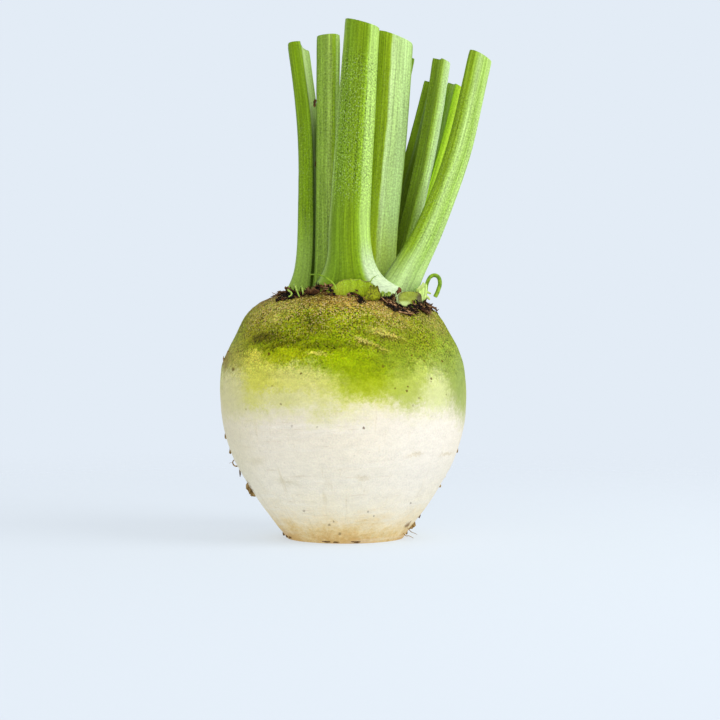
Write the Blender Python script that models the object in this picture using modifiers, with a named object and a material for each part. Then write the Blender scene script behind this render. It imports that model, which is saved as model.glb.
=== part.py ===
"""White beetroot with green shoulders, its leaf stalks cut short, standing on a flat bottom cut.

The frame is in metres, +Z up, with the origin at the centre of the bottom cut and -Y to the front.
The swollen root is one solid. Every leaf stalk, stub and dry scale is a solid of its own that is
seated on the crown with a hair of clearance, as each of them could be snapped off by hand.
"""

import math
from typing import NamedTuple

import bmesh
import bpy
from mathutils import Vector
from mathutils.bvhtree import BVHTree

MM = 0.001

# The root: a turned form that leans a little, is oval and lobed, and is cut flat at the bottom.
ROOT_WIDTH = 95.4 * MM
ROOT_HEIGHT = 97 * MM
ROOT_PROFILE = (  # radius as a share of half the width, height as a share of the height, crown to cut
    (0.0, 1.0),
    (0.27, 0.994),
    (0.50, 0.974),
    (0.63, 0.952),
    (0.71, 0.928),
    (0.80, 0.882),
    (0.885, 0.811),
    (0.94, 0.755),
    (0.987, 0.675),
    (1.0, 0.570),
    (0.975, 0.450),
    (0.905, 0.325),
    (0.80, 0.227),
    (0.70, 0.148),
    (0.56, 0.055),
    (0.475, 0.0),
)
PROFILE_STEPS = 2
ROUND_STEPS = 56
DEPTH_SHARE = 0.97  # front to back, against the width
LEAN = -1.2 * MM  # how far the crown stands to the right of the bottom cut
LOBES = ((2, 0.005, 0.6), (3, 0.005, 2.1), (5, 0.004, 4.0))  # count round the root, swell, phase

# The leaf bases: how they sit and how their sections are drawn.
SEAT_GAP = 0.3 * MM
SECTION_POINTS = 20
SQUARENESS = 0.82
CHANNEL = 0.78
FLARE_START = 9 * MM
FLARE_RINGS = (0.0, 0.05, 0.09, 0.13, 0.18, 0.25, 0.34, 0.46, 0.60, 0.74, 0.88, 1.0)
STUB_RINGS = (0.0, 0.25, 0.5, 0.75, 1.0)

# Colours, roughness.
SKIN = ((0.80, 0.74, 0.55), 0.55)
STALK_GREEN = ((0.36, 0.55, 0.10), 0.45)
STUB_GREEN = ((0.50, 0.62, 0.12), 0.5)
DRY_BROWN = ((0.16, 0.09, 0.05), 0.85)


class Leaf(NamedTuple):
    """A leaf base or its stalk. Places and sizes are in millimetres, angles in degrees."""

    route: tuple  # points of the centre line, from inside the crown to the cut end
    width: tuple  # across, at the foot, above the flare and at the cut end
    thickness: tuple  # from the channel to the back, at the same three places
    facing: float  # azimuth of the rounded back, 0 to the right and -90 to the front
    cut: tuple = (0.0, 0.0)  # how much the cut end climbs across, and towards the back
    wrap: float = 0.0  # how strongly the foot curls round the crown, 1 over its radius in mm
    flare: float = 5.0  # the length over which the widened foot fades into the stem
    clasped_by: tuple = ()  # neighbours whose feet lie over this one


STALKS = {
    "stalk_front": Leaf(
        route=((4.0, -19.5, 86), (1.9, -20.5, 112), (2.5, -20, 132), (4.3, -18.5, 160), (6.7, -17, 195.8)),
        width=(35, 16.4, 13.2),
        thickness=(10, 9.0, 8.4),
        facing=-94,
        cut=(-0.29, -0.12),
        wrap=0.022,
    ),
    "stalk_right": Leaf(
        route=((16, -9, 86), (22.8, -12.5, 100.5), (32.4, -14.5, 119.5), (43.3, -15, 149), (51.6, -14, 184.8)),
        width=(18.0, 10.8, 9.6),
        thickness=(10, 8.0, 7.4),
        facing=-52,
        cut=(-0.2, -0.35),
        wrap=0.01,
        flare=14,
        clasped_by=("stalk_front",),
    ),
    "stalk_left": Leaf(
        route=((-19.2, -2.5, 86), (-15.4, -2.2, 105), (-14.6, -2, 128), (-15.2, -2, 160), (-19.2, -2, 192)),
        width=(13, 8.2, 7.4),
        thickness=(12, 8.0, 6.2),
        facing=187,
        cut=(0.05, 0.05),
        wrap=0.02,
    ),
    "stalk_left_inner": Leaf(
        route=((-6.7, -6.5, 86), (-6.6, -6.2, 112), (-6.6, -6, 150), (-6.4, -6, 194)),
        width=(10.5, 9.2, 9.0),
        thickness=(7.5, 7.0, 6.8),
        facing=-112,
        cut=(0.05, 0.05),
    ),
    "stalk_right_inner": Leaf(
        route=((11.0, -4.0, 86), (13.0, -4, 117), (15.0, -4, 140), (17.0, -4, 161), (19.1, -4, 193.6)),
        width=(15, 15.0, 15.2),
        thickness=(10, 9.8, 9.4),
        facing=-66,
        cut=(-0.25, -0.12),
    ),
    "stalk_left_back": Leaf(
        route=((-12.1, 8.5, 86), (-12.0, 9, 112), (-12.6, 9.5, 140), (-17.1, 10, 192.6)),
        width=(9, 7.6, 7.0),
        thickness=(7, 5.6, 5.2),
        facing=152,
        cut=(0.3, 0.1),
    ),
    "stalk_right_back": Leaf(
        route=((16.9, 6, 86), (21.4, 5.5, 108), (27.8, 4.5, 133.5), (33.6, 3.5, 161.5), (37.5, 3, 186.6)),
        width=(9.5, 9.2, 8.8),
        thickness=(8, 7.4, 6.6),
        facing=28,
        cut=(0.1, -0.25),
    ),
    "stalk_back_right": Leaf(
        route=((7.8, 11.5, 86), (13.8, 12, 105), (21.2, 13, 130), (28.6, 14, 156), (34.6, 15, 180)),
        width=(8.5, 8.0, 7.4),
        thickness=(7, 6.2, 5.6),
        facing=42,
        cut=(0.1, 0.0),
    ),
    "stalk_far_right": Leaf(
        route=((17.5, 17.5, 86), (23, 17, 107), (32, 16.5, 136), (38.9, 15.5, 160), (43.8, 15, 179)),
        width=(10.5, 9.6, 9.0),
        thickness=(8, 7.2, 6.6),
        facing=24,
        cut=(0.1, -0.2),
    ),
    "stalk_back": Leaf(
        route=((-1.5, 15.5, 86), (4.0, 17, 110), (13.5, 19, 148), (23.4, 21, 191.5)),
        width=(11, 9.8, 9.2),
        thickness=(8, 7.0, 6.6),
        facing=98,
        cut=(0.0, 0.0),
    ),
}

STUBS = {  # old leaves that were cut off close to the crown
    "stub_front": Leaf(
        route=((2.6, -20, 88), (2.8, -26.5, 94.5), (2.6, -28.0, 100.2)),
        width=(23, 20.5, 18.5),
        thickness=(6, 4.6, 3.2),
        facing=-92,
        cut=(-0.08, -0.3),
        wrap=0.02,
        clasped_by=("stalk_front",),
    ),
    "stub_right": Leaf(
        route=((17.2, -11.2, 88.2), (21.0, -18.2, 90.6), (24.7, -25.2, 92.0)),
        width=(11, 10.8, 10.6),
        thickness=(7, 6.6, 6.2),
        facing=-62,
        clasped_by=("stalk_right", "stalk_front"),
    ),
    "stub_pale": Leaf(
        route=((24.5, -12.5, 86), (28.4, -15.6, 93), (29.4, -16.6, 98)),
        width=(8, 6.5, 5.5),
        thickness=(4.5, 3.4, 2.4),
        facing=-32,
        cut=(0.3, -0.3),
        clasped_by=("stalk_right", "stub_right"),
    ),
    "stub_left_back": Leaf(
        route=((-15, 15, 84), (-18.5, 18.5, 92), (-20, 20.2, 98)),
        width=(13, 10.5, 9),
        thickness=(7, 5.4, 4.4),
        facing=132,
        cut=(0.2, -0.4),
        wrap=0.02,
    ),
    "stub_back": Leaf(
        route=((9, 21, 84), (9.6, 25, 93), (9.8, 26.5, 99)),
        width=(15, 12.5, 11),
        thickness=(7, 5.6, 4.6),
        facing=84,
        cut=(-0.2, -0.4),
        wrap=0.02,
    ),
}


class Scale(NamedTuple):
    """A dry scale of a dead leaf, lying on the shoulder. Sizes are in millimetres, angles in degrees."""

    azimuth: float  # where its root end sits, 0 to the right and -90 to the front
    seat: float  # radius of that place
    width: float
    length: float
    curl: float  # how far the free end stands off the shoulder
    turn: float = 0.0  # how much it points aside from straight outwards


SCALES = {
    "dry_scale_left": Scale(204, 23.2, 7.5, 4.6, 1.2, 6),
    "dry_scale_left_front": Scale(226, 24.0, 8.5, 5.0, 1.8, -10),
    "dry_scale_front_left": Scale(246, 27.5, 6.5, 3.6, 2.6, 10),
    "dry_scale_front_right": Scale(-71, 31.4, 7.0, 2.6, 6.0, 4),
    "dry_scale_right_front": Scale(-31, 35.0, 8.0, 4.5, 0.8, -6),
    "dry_scale_right": Scale(-6, 30.6, 8.5, 5.5, 1.0, 0),
    "dry_scale_right_back": Scale(20, 29.6, 8.5, 6.0, 1.6, 9),
    "dry_scale_back_right": Scale(50, 30.6, 7.5, 5.5, 1.5, -8),
    "dry_scale_back": Scale(108, 27.5, 9.0, 6.5, 1.7, 12),
    "dry_scale_left_back": Scale(160, 24.5, 8.0, 5.0, 1.3, -10),
}
SCALE_THICKNESS = 0.9 * MM
SCALE_OUTLINE = (0.78, 0.96, 1.0, 0.86, 0.46)  # half width from the seat to the free end
SCALE_COLUMNS = 5

# The withered leaf that curls over at the right of the crown.
CURL_ROUTE = (
    (30.5, -10.6, 91.2),
    (31.0, -10.5, 95.4),
    (31.7, -10.4, 99.0),
    (33.3, -10.4, 101.2),
    (35.3, -10.3, 101.2),
    (36.7, -10.3, 99.2),
    (36.0, -10.4, 95.6),
    (34.8, -10.6, 93.2),
)
CURL_DIAMETER = 1.5 * MM
THREAD_POINTS = 16


def smooth_through(points, steps):
    """Points on a Catmull-Rom curve through the given ones, with the given steps on each span."""
    points = [Vector(p) for p in points]
    ends = [2 * points[0] - points[1], *points, 2 * points[-1] - points[-2]]
    curve = []
    for i in range(1, len(ends) - 2):
        before, start, end, after = ends[i - 1 : i + 3]
        for step in range(steps):
            t = step / steps
            linear = (end - before) * t
            square = (2 * before - 5 * start + 4 * end - after) * t**2
            cubic = (3 * start - before - 3 * end + after) * t**3
            curve.append(start + (linear + square + cubic) / 2)
    return [*curve, points[-1]]


def along(curve, share):
    """The point and the direction at a share of a polyline's length."""
    lengths = [(b - a).length for a, b in zip(curve, curve[1:])]
    left = share * sum(lengths)
    piece = 0
    while piece < len(lengths) - 1 and left > lengths[piece]:
        left -= lengths[piece]
        piece += 1
    start, end = curve[piece], curve[piece + 1]
    return start.lerp(end, min(1.0, left / lengths[piece])), (end - start).normalized()


def heading(azimuth):
    return Vector((math.cos(math.radians(azimuth)), math.sin(math.radians(azimuth)), 0))


def new_collection(name):
    collection = bpy.data.collections.new(name)
    bpy.context.scene.collection.children.link(collection)
    return collection


def new_object(name, mesh, collection, finish=None):
    obj = bpy.data.objects.new(name, mesh)
    collection.objects.link(obj)
    if finish:
        colour, roughness = finish
        material = bpy.data.materials.new(name)
        material.use_nodes = True
        shader = material.node_tree.nodes["Principled BSDF"]
        shader.inputs["Base Color"].default_value = (*colour, 1)
        shader.inputs["Roughness"].default_value = roughness
        obj.data.materials.append(material)
    return obj


def smooth_shaded(mesh):
    mesh.shade_smooth()
    mesh.set_sharp_from_angle(angle=math.radians(40))


def as_grown(point):
    """Moves a point of the round form to where the grown root has it: leaning, oval, with soft lobes."""
    azimuth = math.atan2(point.y, point.x)
    height = min(1.0, max(0.0, point.z / ROOT_HEIGHT))
    swell = 1 + math.sin(math.pi * height) * sum(
        size * math.sin(count * azimuth + phase) for count, size, phase in LOBES
    )
    return Vector((point.x * swell + LEAN * height, point.y * swell * DEPTH_SHARE, point.z))


def root_mesh(collection):
    """The root's profile turned about +Z, then made uneven."""
    outline = smooth_through([(r, 0, h) for r, h in ROOT_PROFILE], PROFILE_STEPS)
    profile = bpy.data.meshes.new("profile")
    corners = [(max(0.0, p.x) * ROOT_WIDTH / 2, 0, p.z * ROOT_HEIGHT) for p in outline]
    corners.append((0, 0, 0))
    profile.from_pydata(corners, [(i, i + 1) for i in range(len(corners) - 1)], [])
    turned = new_object("turned_profile", profile, collection)
    screw = turned.modifiers.new("Screw", "SCREW")
    screw.steps = ROUND_STEPS
    screw.render_steps = ROUND_STEPS
    screw.use_merge_vertices = True
    screw.merge_threshold = 0.0001
    bpy.context.view_layer.update()
    graph = bpy.context.evaluated_depsgraph_get()
    mesh = bpy.data.meshes.new_from_object(turned.evaluated_get(graph))
    bpy.data.objects.remove(turned)
    for vertex in mesh.vertices:
        vertex.co = as_grown(vertex.co)
    smooth_shaded(mesh)
    return mesh


def section(width, thickness, wrap):
    """A leaf stalk's cross section: a rounded back at +y, a channel at -y, curled by wrap."""
    points = []
    for i in range(SECTION_POINTS):
        angle = math.tau * i / SECTION_POINTS
        across, back = math.cos(angle), math.sin(angle)
        across = math.copysign(abs(across) ** SQUARENESS, across)
        back = math.copysign(abs(back) ** SQUARENESS, back)
        if back < 0:
            back *= 1 - CHANNEL * (1 - across**2)
        x = across * width / 2
        points.append((x, back * thickness / 2 - wrap * x**2 / 2))
    return points


def leaf_rings(leaf, grown=0.0):
    """The sections of a leaf base along its route, as rings of points. Grown makes it thicker all round."""
    route = smooth_through([Vector(p) * MM for p in leaf.route], 6)
    length = sum((b - a).length for a, b in zip(route, route[1:]))
    outward = heading(leaf.facing)
    rings = []
    for share in FLARE_RINGS if length > 50 * MM else STUB_RINGS:
        centre, direction = along(route, share)
        back = (outward - outward.dot(direction) * direction).normalized()
        across = direction.cross(back)
        flare = min(1.0, math.exp((FLARE_START - share * length) / (leaf.flare * MM)))
        sizes = []
        for foot, stem, tip in (leaf.width, leaf.thickness):
            sizes.append((stem + (tip - stem) * share + (foot - stem) * flare) * MM + 2 * grown)
        ring = []
        for x, y in section(*sizes, leaf.wrap / MM * flare):
            lift = (leaf.cut[0] * x + leaf.cut[1] * y) if share == 1.0 else 0.0
            ring.append(centre + across * x + back * y + direction * lift)
        rings.append(ring)
    return rings


def loft(name, rings):
    """A closed skin over rings that have the same number of points."""
    shape = bmesh.new()
    loops = [[shape.verts.new(point) for point in ring] for ring in rings]
    for lower, upper in zip(loops, loops[1:]):
        for i in range(len(lower)):
            following = (i + 1) % len(lower)
            shape.faces.new((lower[i], lower[following], upper[following], upper[i]))
    shape.faces.new(reversed(loops[0]))
    shape.faces.new(loops[-1])
    bmesh.ops.recalc_face_normals(shape, faces=shape.faces)
    mesh = bpy.data.meshes.new(name)
    shape.to_mesh(mesh)
    shape.free()
    smooth_shaded(mesh)
    return mesh


def scale_rings(scale, shoulder):
    """A dry scale's sections, from its seat to its free end, each laid on the shoulder."""
    seat = heading(scale.azimuth) * scale.seat * MM
    ahead = heading(scale.azimuth + scale.turn)
    aside = Vector((-ahead.y, ahead.x, 0))
    half_columns = SCALE_COLUMNS // 2
    rings = []
    for row, half_width in enumerate(SCALE_OUTLINE):
        share = row / (len(SCALE_OUTLINE) - 1)
        under, over = [], []
        for column in range(-half_columns, half_columns + 1):
            across = column / half_columns
            flat = seat + ahead * scale.length * MM * share + aside * across * half_width * scale.width / 2 * MM
            ground = shoulder.ray_cast(flat + Vector((0, 0, 2 * ROOT_HEIGHT)), Vector((0, 0, -1)))[0]
            lift = SEAT_GAP * 1.3 + scale.curl * MM * (share**2 + 0.25 * across**2)
            under.append(ground + Vector((0, 0, lift)))
            over.append(ground + Vector((0, 0, lift + SCALE_THICKNESS * (1.25 - 0.5 * share - 0.35 * across**2))))
        rings.append(under + over[::-1])
    return rings


def as_cutter(obj):
    obj.hide_render = True
    obj.display_type = "WIRE"
    return obj


def cut_by(obj, cutter):
    boolean = obj.modifiers.new(f"clear of {cutter.name}", "BOOLEAN")
    boolean.operation = "DIFFERENCE"
    boolean.object = cutter


def thread(name, route, diameter, collection, finish):
    """A thin round stalk along a route."""
    curve = bpy.data.curves.new(name, "CURVE")
    curve.dimensions = "3D"
    curve.bevel_depth = diameter / 2
    curve.bevel_resolution = 1
    curve.use_fill_caps = True
    points = smooth_through([Vector(p) * MM for p in route], 6)
    points = [along(points, i / (THREAD_POINTS - 1))[0] for i in range(THREAD_POINTS)]
    spline = curve.splines.new("POLY")
    spline.points.add(len(points) - 1)
    for spline_point, point in zip(spline.points, points):
        spline_point.co = (*point, 1)
    return new_object(name, curve, collection, finish)


def main():
    for obj in list(bpy.data.objects):
        bpy.data.objects.remove(obj)
    beetroot = new_collection("beetroot")
    cutters = new_collection("cutters")

    root = new_object("swollen_root", root_mesh(beetroot), beetroot, SKIN)
    crown = as_cutter(new_object("crown_clearance", root.data.copy(), cutters))
    for vertex in crown.data.vertices:
        vertex.co += vertex.normal * SEAT_GAP

    leaves = {**STALKS, **STUBS}
    clearances = {}
    for name in sorted({name for leaf in leaves.values() for name in leaf.clasped_by}):
        mesh = loft(f"{name}_clearance", leaf_rings(leaves[name], grown=SEAT_GAP))
        clearances[name] = as_cutter(new_object(mesh.name, mesh, cutters))
    for name, leaf in leaves.items():
        finish = STALK_GREEN if name in STALKS else STUB_GREEN
        obj = new_object(name, loft(name, leaf_rings(leaf)), beetroot, finish)
        cut_by(obj, crown)
        for neighbour in leaf.clasped_by:
            cut_by(obj, clearances[neighbour])

    corners = [vertex.co for vertex in root.data.vertices]
    shoulder = BVHTree.FromPolygons(corners, [tuple(face.vertices) for face in root.data.polygons])
    for name, scale in SCALES.items():
        new_object(name, loft(name, scale_rings(scale, shoulder)), beetroot, DRY_BROWN)

    thread("curled_leaf_stalk", CURL_ROUTE, CURL_DIAMETER, beetroot, STALK_GREEN)


main()
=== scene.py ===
import math
import random

import bmesh
import bpy
from mathutils import Matrix, Vector, noise
from mathutils.bvhtree import BVHTree


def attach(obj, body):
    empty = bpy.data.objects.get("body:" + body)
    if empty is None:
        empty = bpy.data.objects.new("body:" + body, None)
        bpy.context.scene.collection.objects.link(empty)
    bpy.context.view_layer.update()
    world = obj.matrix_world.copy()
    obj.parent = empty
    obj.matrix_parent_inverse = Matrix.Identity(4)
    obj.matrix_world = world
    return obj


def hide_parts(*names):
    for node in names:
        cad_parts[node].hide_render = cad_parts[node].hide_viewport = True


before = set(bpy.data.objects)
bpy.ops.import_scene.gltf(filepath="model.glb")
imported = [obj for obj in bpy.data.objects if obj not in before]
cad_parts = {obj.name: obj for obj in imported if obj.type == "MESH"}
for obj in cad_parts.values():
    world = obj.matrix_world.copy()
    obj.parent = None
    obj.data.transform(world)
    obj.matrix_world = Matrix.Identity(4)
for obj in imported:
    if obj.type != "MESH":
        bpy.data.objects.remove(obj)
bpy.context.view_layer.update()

# ---- The swollen root ----
# A white beetroot, grown half out of the ground: the buried part stayed cream, the shoulder that stood in
# the light went green. One solid body of flesh under a thin skin, with the crown on top, and a flat cut
# where the tap root was sliced away.

MM = 0.001
ROOT_WIDTH = 95.4 * MM
ROOT_HEIGHT = 97 * MM
ROOT_PROFILE = (  # radius as a share of half the width, height as a share of the height, crown to cut
    (0.0, 1.0),
    (0.27, 0.994),
    (0.50, 0.974),
    (0.63, 0.952),
    (0.71, 0.928),
    (0.80, 0.882),
    (0.885, 0.811),
    (0.94, 0.755),
    (0.987, 0.675),
    (1.0, 0.570),
    (0.975, 0.450),
    (0.905, 0.325),
    (0.80, 0.227),
    (0.70, 0.148),
    (0.56, 0.055),
    (0.475, 0.0),
)
DEPTH_SHARE = 0.97
LEAN = -1.2 * MM
LOBES = ((2, 0.005, 0.6), (3, 0.005, 2.1), (5, 0.004, 4.0))  # count round the root, swell, phase
ROOT_AROUND = 320
ROOT_RINGS = 260
CUT_RINGS = 24  # of those, the ones that lie on the flat cut
STILL_RIM = 0.2 * MM  # the skin below this stays smooth, so that the cut stays round and flat
RELIEF_START = 4 * MM  # the height over which the relief comes in


def smooth_through(points, steps):
    """Points on a smooth curve through the given ones, with the given steps on each span."""
    points = [Vector(p) for p in points]
    ends = [2 * points[0] - points[1], *points, 2 * points[-1] - points[-2]]
    curve = []
    for i in range(1, len(ends) - 2):
        before, start, end, after = ends[i - 1 : i + 3]
        for step in range(steps):
            t = step / steps
            linear = (end - before) * t
            square = (2 * before - 5 * start + 4 * end - after) * t**2
            cubic = (3 * start - before - 3 * end + after) * t**3
            curve.append(start + (linear + square + cubic) / 2)
    return [*curve, points[-1]]


def along(curve, share):
    """The point and the direction at a share of a line's length."""
    lengths = [(b - a).length for a, b in zip(curve, curve[1:])]
    left = share * sum(lengths)
    piece = 0
    while piece < len(lengths) - 1 and left > lengths[piece]:
        left -= lengths[piece]
        piece += 1
    start, end = curve[piece], curve[piece + 1]
    return start.lerp(end, min(1.0, left / lengths[piece])), (end - start).normalized()


def as_grown(point):
    """Moves a point of the round form to where the grown root has it: leaning, oval, with soft lobes."""
    azimuth = math.atan2(point.y, point.x)
    height = min(1.0, max(0.0, point.z / ROOT_HEIGHT))
    swell = 1 + math.sin(math.pi * height) * sum(
        size * math.sin(count * azimuth + phase) for count, size, phase in LOBES
    )
    return Vector((point.x * swell + LEAN * height, point.y * swell * DEPTH_SHARE, point.z))


def nothing_selected():
    if bpy.context.object and bpy.context.object.mode != "OBJECT":
        bpy.ops.object.mode_set(mode="OBJECT")
    bpy.ops.object.select_all(action="DESELECT")


def bell(distance):
    """One at no distance, fading to nothing at a distance of one."""
    return (1 - distance**2) ** 2 if distance < 1 else 0.0


DENTS = (  # place and reach in millimetres, depth in millimetres (a bump where it is below zero)
    ((-10, -42, 73.5), (11, 8, 1.1), 0.35),
    ((-24, -36, 77.5), (9, 8, 1.6), 0.3),
    ((15.7, -37.5, 77.4), (6, 6, 1.0), 0.22),
    ((7.6, -41.2, 75.2), (4, 5, 0.9), 0.2),
    ((12.7, -40.9, 72.8), (4.5, 5, 0.9), 0.2),
    ((33.9, -31.5, 57.6), (9, 9, 11), -0.45),
    ((20, -28, 88), (9, 5, 2.6), 0.5),
    ((31, -18, 87.6), (6, 5, 2.4), 0.45),
    ((6.2, -30.9, 90.6), (2.2, 2.2, 1.8), 1.0),
    ((-42, -6, 77), (14, 34, 13), 0.75),
    ((-45.2, -9.6, 72.1), (1.3, 1.6, 0.8), -0.4),
    ((-45.4, -10, 68.2), (1.6, 3, 3.5), -0.2),
    ((-45.3, -9.0, 39.4), (1.4, 1.4, 0.8), -0.35),
    ((-43.6, -10.1, 33.7), (1.4, 1.4, 0.9), -0.4),
    ((27.9, -10.1, 9.2), (1.4, 1.4, 0.9), -0.4),
    ((38.6, -6, 24.0), (1.4, 1.8, 0.9), -0.4),
    ((24.1, -12, 5.9), (1.5, 1.5, 1.5), -0.5),
    ((-36.5, -9, 20.1), (1.6, 2, 4), -0.35),
    ((7.1, -44.1, 44.5), (0.9, 2, 0.9), 0.15),
)


def relief(point):
    """How far the skin stands off the smooth form at a point, in millimetres."""
    p = point / MM
    rise = 0.22 * noise.noise(p * 0.06) + 0.10 * noise.noise(p * 0.17 + Vector((9, 0, 0)))
    rise += 0.035 * noise.noise(p * 0.6)
    shoulder = min(1.0, max(0.0, (p.z - 66) / 20))
    rise += shoulder * 0.10 * noise.noise(Vector((p.x * 0.10, p.y * 0.10, p.z * 0.9)))
    rise += shoulder * 0.05 * noise.noise(p * 1.3)
    for place, reach, depth in DENTS:
        gap = [(a - b) / c for a, b, c in zip(p, place, reach)]
        rise -= depth * bell(math.sqrt(sum(g * g for g in gap)))
    return rise


nothing_selected()
bpy.ops.mesh.primitive_uv_sphere_add(
    segments=ROOT_AROUND, ring_count=ROOT_RINGS, radius=ROOT_WIDTH / 2, location=(0, 0, 0)
)
root = bpy.context.object
root.name = "grown_root"
root_outline = smooth_through([(r, 0, h) for r, h in ROOT_PROFILE], 8)
root_outline = [Vector((max(0.0, p.x) * ROOT_WIDTH / 2, 0, p.z * ROOT_HEIGHT)) for p in root_outline]
rim_radius = root_outline[-1].x
skin_rings = ROOT_RINGS - CUT_RINGS
ring_places = []
for ring in range(ROOT_RINGS + 1):
    if ring <= skin_rings:
        ring_places.append(along(root_outline, ring / skin_rings)[0])
    else:
        ring_places.append(Vector((rim_radius * (ROOT_RINGS - ring) / CUT_RINGS, 0, 0)))
for vertex in root.data.vertices:
    polar = math.acos(max(-1.0, min(1.0, vertex.co.z / (ROOT_WIDTH / 2))))
    place = ring_places[round(polar / math.pi * ROOT_RINGS)]
    azimuth = math.atan2(vertex.co.y, vertex.co.x)
    vertex.co = as_grown(Vector((place.x * math.cos(azimuth), place.x * math.sin(azimuth), place.z)))
root.data.update()
outward = [vertex.normal.copy() for vertex in root.data.vertices]
for vertex, normal in zip(root.data.vertices, outward):
    if vertex.co.z > STILL_RIM:
        fade = min(1.0, vertex.co.z / RELIEF_START)
        vertex.co += normal * relief(vertex.co) * fade * MM
bpy.ops.object.shade_smooth_by_angle(angle=math.radians(50))

shoulder_skin = BVHTree.FromPolygons(
    [vertex.co for vertex in root.data.vertices], [tuple(face.vertices) for face in root.data.polygons]
)


def tint(red, green, blue):
    """A colour as a paint chart gives it, from 0 to 255, for a shader's socket."""
    shares = [value / 255 for value in (red, green, blue)]
    return (*[s / 12.92 if s <= 0.04045 else ((s + 0.055) / 1.055) ** 2.4 for s in shares], 1.0)


class Flow:
    """What a node gives over a surface, a number or a vector. A sum with it becomes a node beside it."""

    def __init__(self, tree, outlet):
        self.tree = tree
        self.outlet = outlet
        self.wide = outlet.type in ("VECTOR", "RGBA")

    def sum(self, how, first, second):
        kind = "ShaderNodeVectorMath" if self.wide else "ShaderNodeMath"
        return add(kind, {0: first, 1: second}, operation=how)

    def __add__(self, other):
        return self.sum("ADD", self, other)

    def __radd__(self, other):
        return self.sum("ADD", other, self)

    def __sub__(self, other):
        return self.sum("SUBTRACT", self, other)

    def __rsub__(self, other):
        return self.sum("SUBTRACT", other, self)

    def __mul__(self, other):
        if self.wide and not (isinstance(other, tuple) or isinstance(other, Flow) and other.wide):
            return add("ShaderNodeVectorMath", {0: self, 3: other}, operation="SCALE")
        return self.sum("MULTIPLY", self, other)

    def __truediv__(self, other):
        return self.sum("DIVIDE", self, other)


def feed(inlet, value):
    """Gives a socket a value of its own, or what another node gives."""
    if isinstance(value, Flow):
        value.tree.links.new(value.outlet, inlet)
    else:
        inlet.default_value = value


def add(kind, feeds, output=0, tree=None, **settings):
    """A node beside the ones that feed it, with its settings and its feeds, and what it gives."""
    tree = tree or next(value.tree for value in feeds.values() if isinstance(value, Flow))
    made = tree.nodes.new(kind)
    for name, value in settings.items():
        setattr(made, name, value)
    for name, value in feeds.items():
        feed(made.inputs[name], value)
    return Flow(tree, made.outputs[output])


def maths(how, *values):
    return add("ShaderNodeMath", dict(enumerate(values)), operation=how)


def length_of(vector):
    return add("ShaderNodeVectorMath", {0: vector}, "Value", operation="LENGTH")


def combined(x, y, z):
    return add("ShaderNodeCombineXYZ", {0: x, 1: y, 2: z})


def parted(vector):
    """The three parts of a vector."""
    made = vector.tree.nodes.new("ShaderNodeSeparateXYZ")
    feed(made.inputs[0], vector)
    return [Flow(vector.tree, outlet) for outlet in made.outputs]


def grain(place, scale, detail=2.0, rough=0.5, whole=False):
    """Soft noise at a scale, from 0 to 1, or as three of them in a vector."""
    feeds = {"Vector": place, "Scale": scale, "Detail": detail, "Roughness": rough}
    return add("ShaderNodeTexNoise", feeds, "Color" if whole else "Fac")


def eased(value, low, high, first=0.0, last=1.0):
    """A value taken smoothly from first to last, as it goes from low to high."""
    feeds = {0: value, 1: low, 2: high, 3: first, 4: last}
    return add("ShaderNodeMapRange", feeds, interpolation_type="SMOOTHSTEP")


def blended(share, under, over):
    """One colour laid over another."""
    return add("ShaderNodeMix", {0: share, 6: under, 7: over}, 2, data_type="RGBA")


def ramp(value, stops):
    """A colour read from a chart of places and colours."""
    chart = value.tree.nodes.new("ShaderNodeValToRGB")
    feed(chart.inputs[0], value)
    elements = chart.color_ramp.elements
    while len(elements) < len(stops):
        elements.new(1.0)
    for element, (place, colour) in zip(elements, stops):
        element.position = place
        element.color = tint(*colour)
    return Flow(value.tree, chart.outputs[0])


def new_group(name, inputs, outputs):
    """An empty node group with named sockets, what comes into it, and the sockets that leave it."""
    tree = bpy.data.node_groups.new(name, "ShaderNodeTree")
    for way, sockets in (("INPUT", inputs), ("OUTPUT", outputs)):
        for label, kind in sockets.items():
            tree.interface.new_socket(label, in_out=way, socket_type=f"NodeSocket{kind}")
    entry = tree.nodes.new("NodeGroupInput").outputs
    given = {label: Flow(tree, entry[label]) for label in inputs}
    return tree, given, tree.nodes.new("NodeGroupOutput").inputs


def use_group(group, feeds):
    """A group's effect with its feeds, and all that it gives, by name."""
    tree = next(value.tree for value in feeds.values() if isinstance(value, Flow))
    made = tree.nodes.new("ShaderNodeGroup")
    made.node_tree = group
    for name, value in feeds.items():
        feed(made.inputs[name], value)
    return {outlet.name: Flow(tree, outlet) for outlet in made.outputs}


def new_finish(name, **constants):
    """A material with its shader, on whose own sockets the constants are set."""
    material = bpy.data.materials.new(name)
    material.use_nodes = True
    shader = material.node_tree.nodes["Principled BSDF"]
    for label, value in constants.items():
        shader.inputs[label.replace("_", " ").title().replace("Ior", "IOR")].default_value = value
    return material, material.node_tree, shader


def place_on(tree):
    """Where a point of the piece lies, in millimetres."""
    return add("ShaderNodeTexCoord", {}, "Object", tree) * (1 / MM)


def map_on(tree):
    """Where a point lies on the piece's own map."""
    return add("ShaderNodeTexCoord", {}, "UV", tree)


def coat(shader, colour, height, depth, strength=1.0, rough=None):
    """Gives a finish its colour, its relief of a depth in millimetres, and a roughness that varies."""
    feed(shader.inputs["Base Color"], colour)
    if rough:
        feed(shader.inputs["Roughness"], rough)
    bump = add("ShaderNodeBump", {"Height": height, "Distance": depth * MM, "Strength": strength})
    feed(shader.inputs["Normal"], bump)


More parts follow.
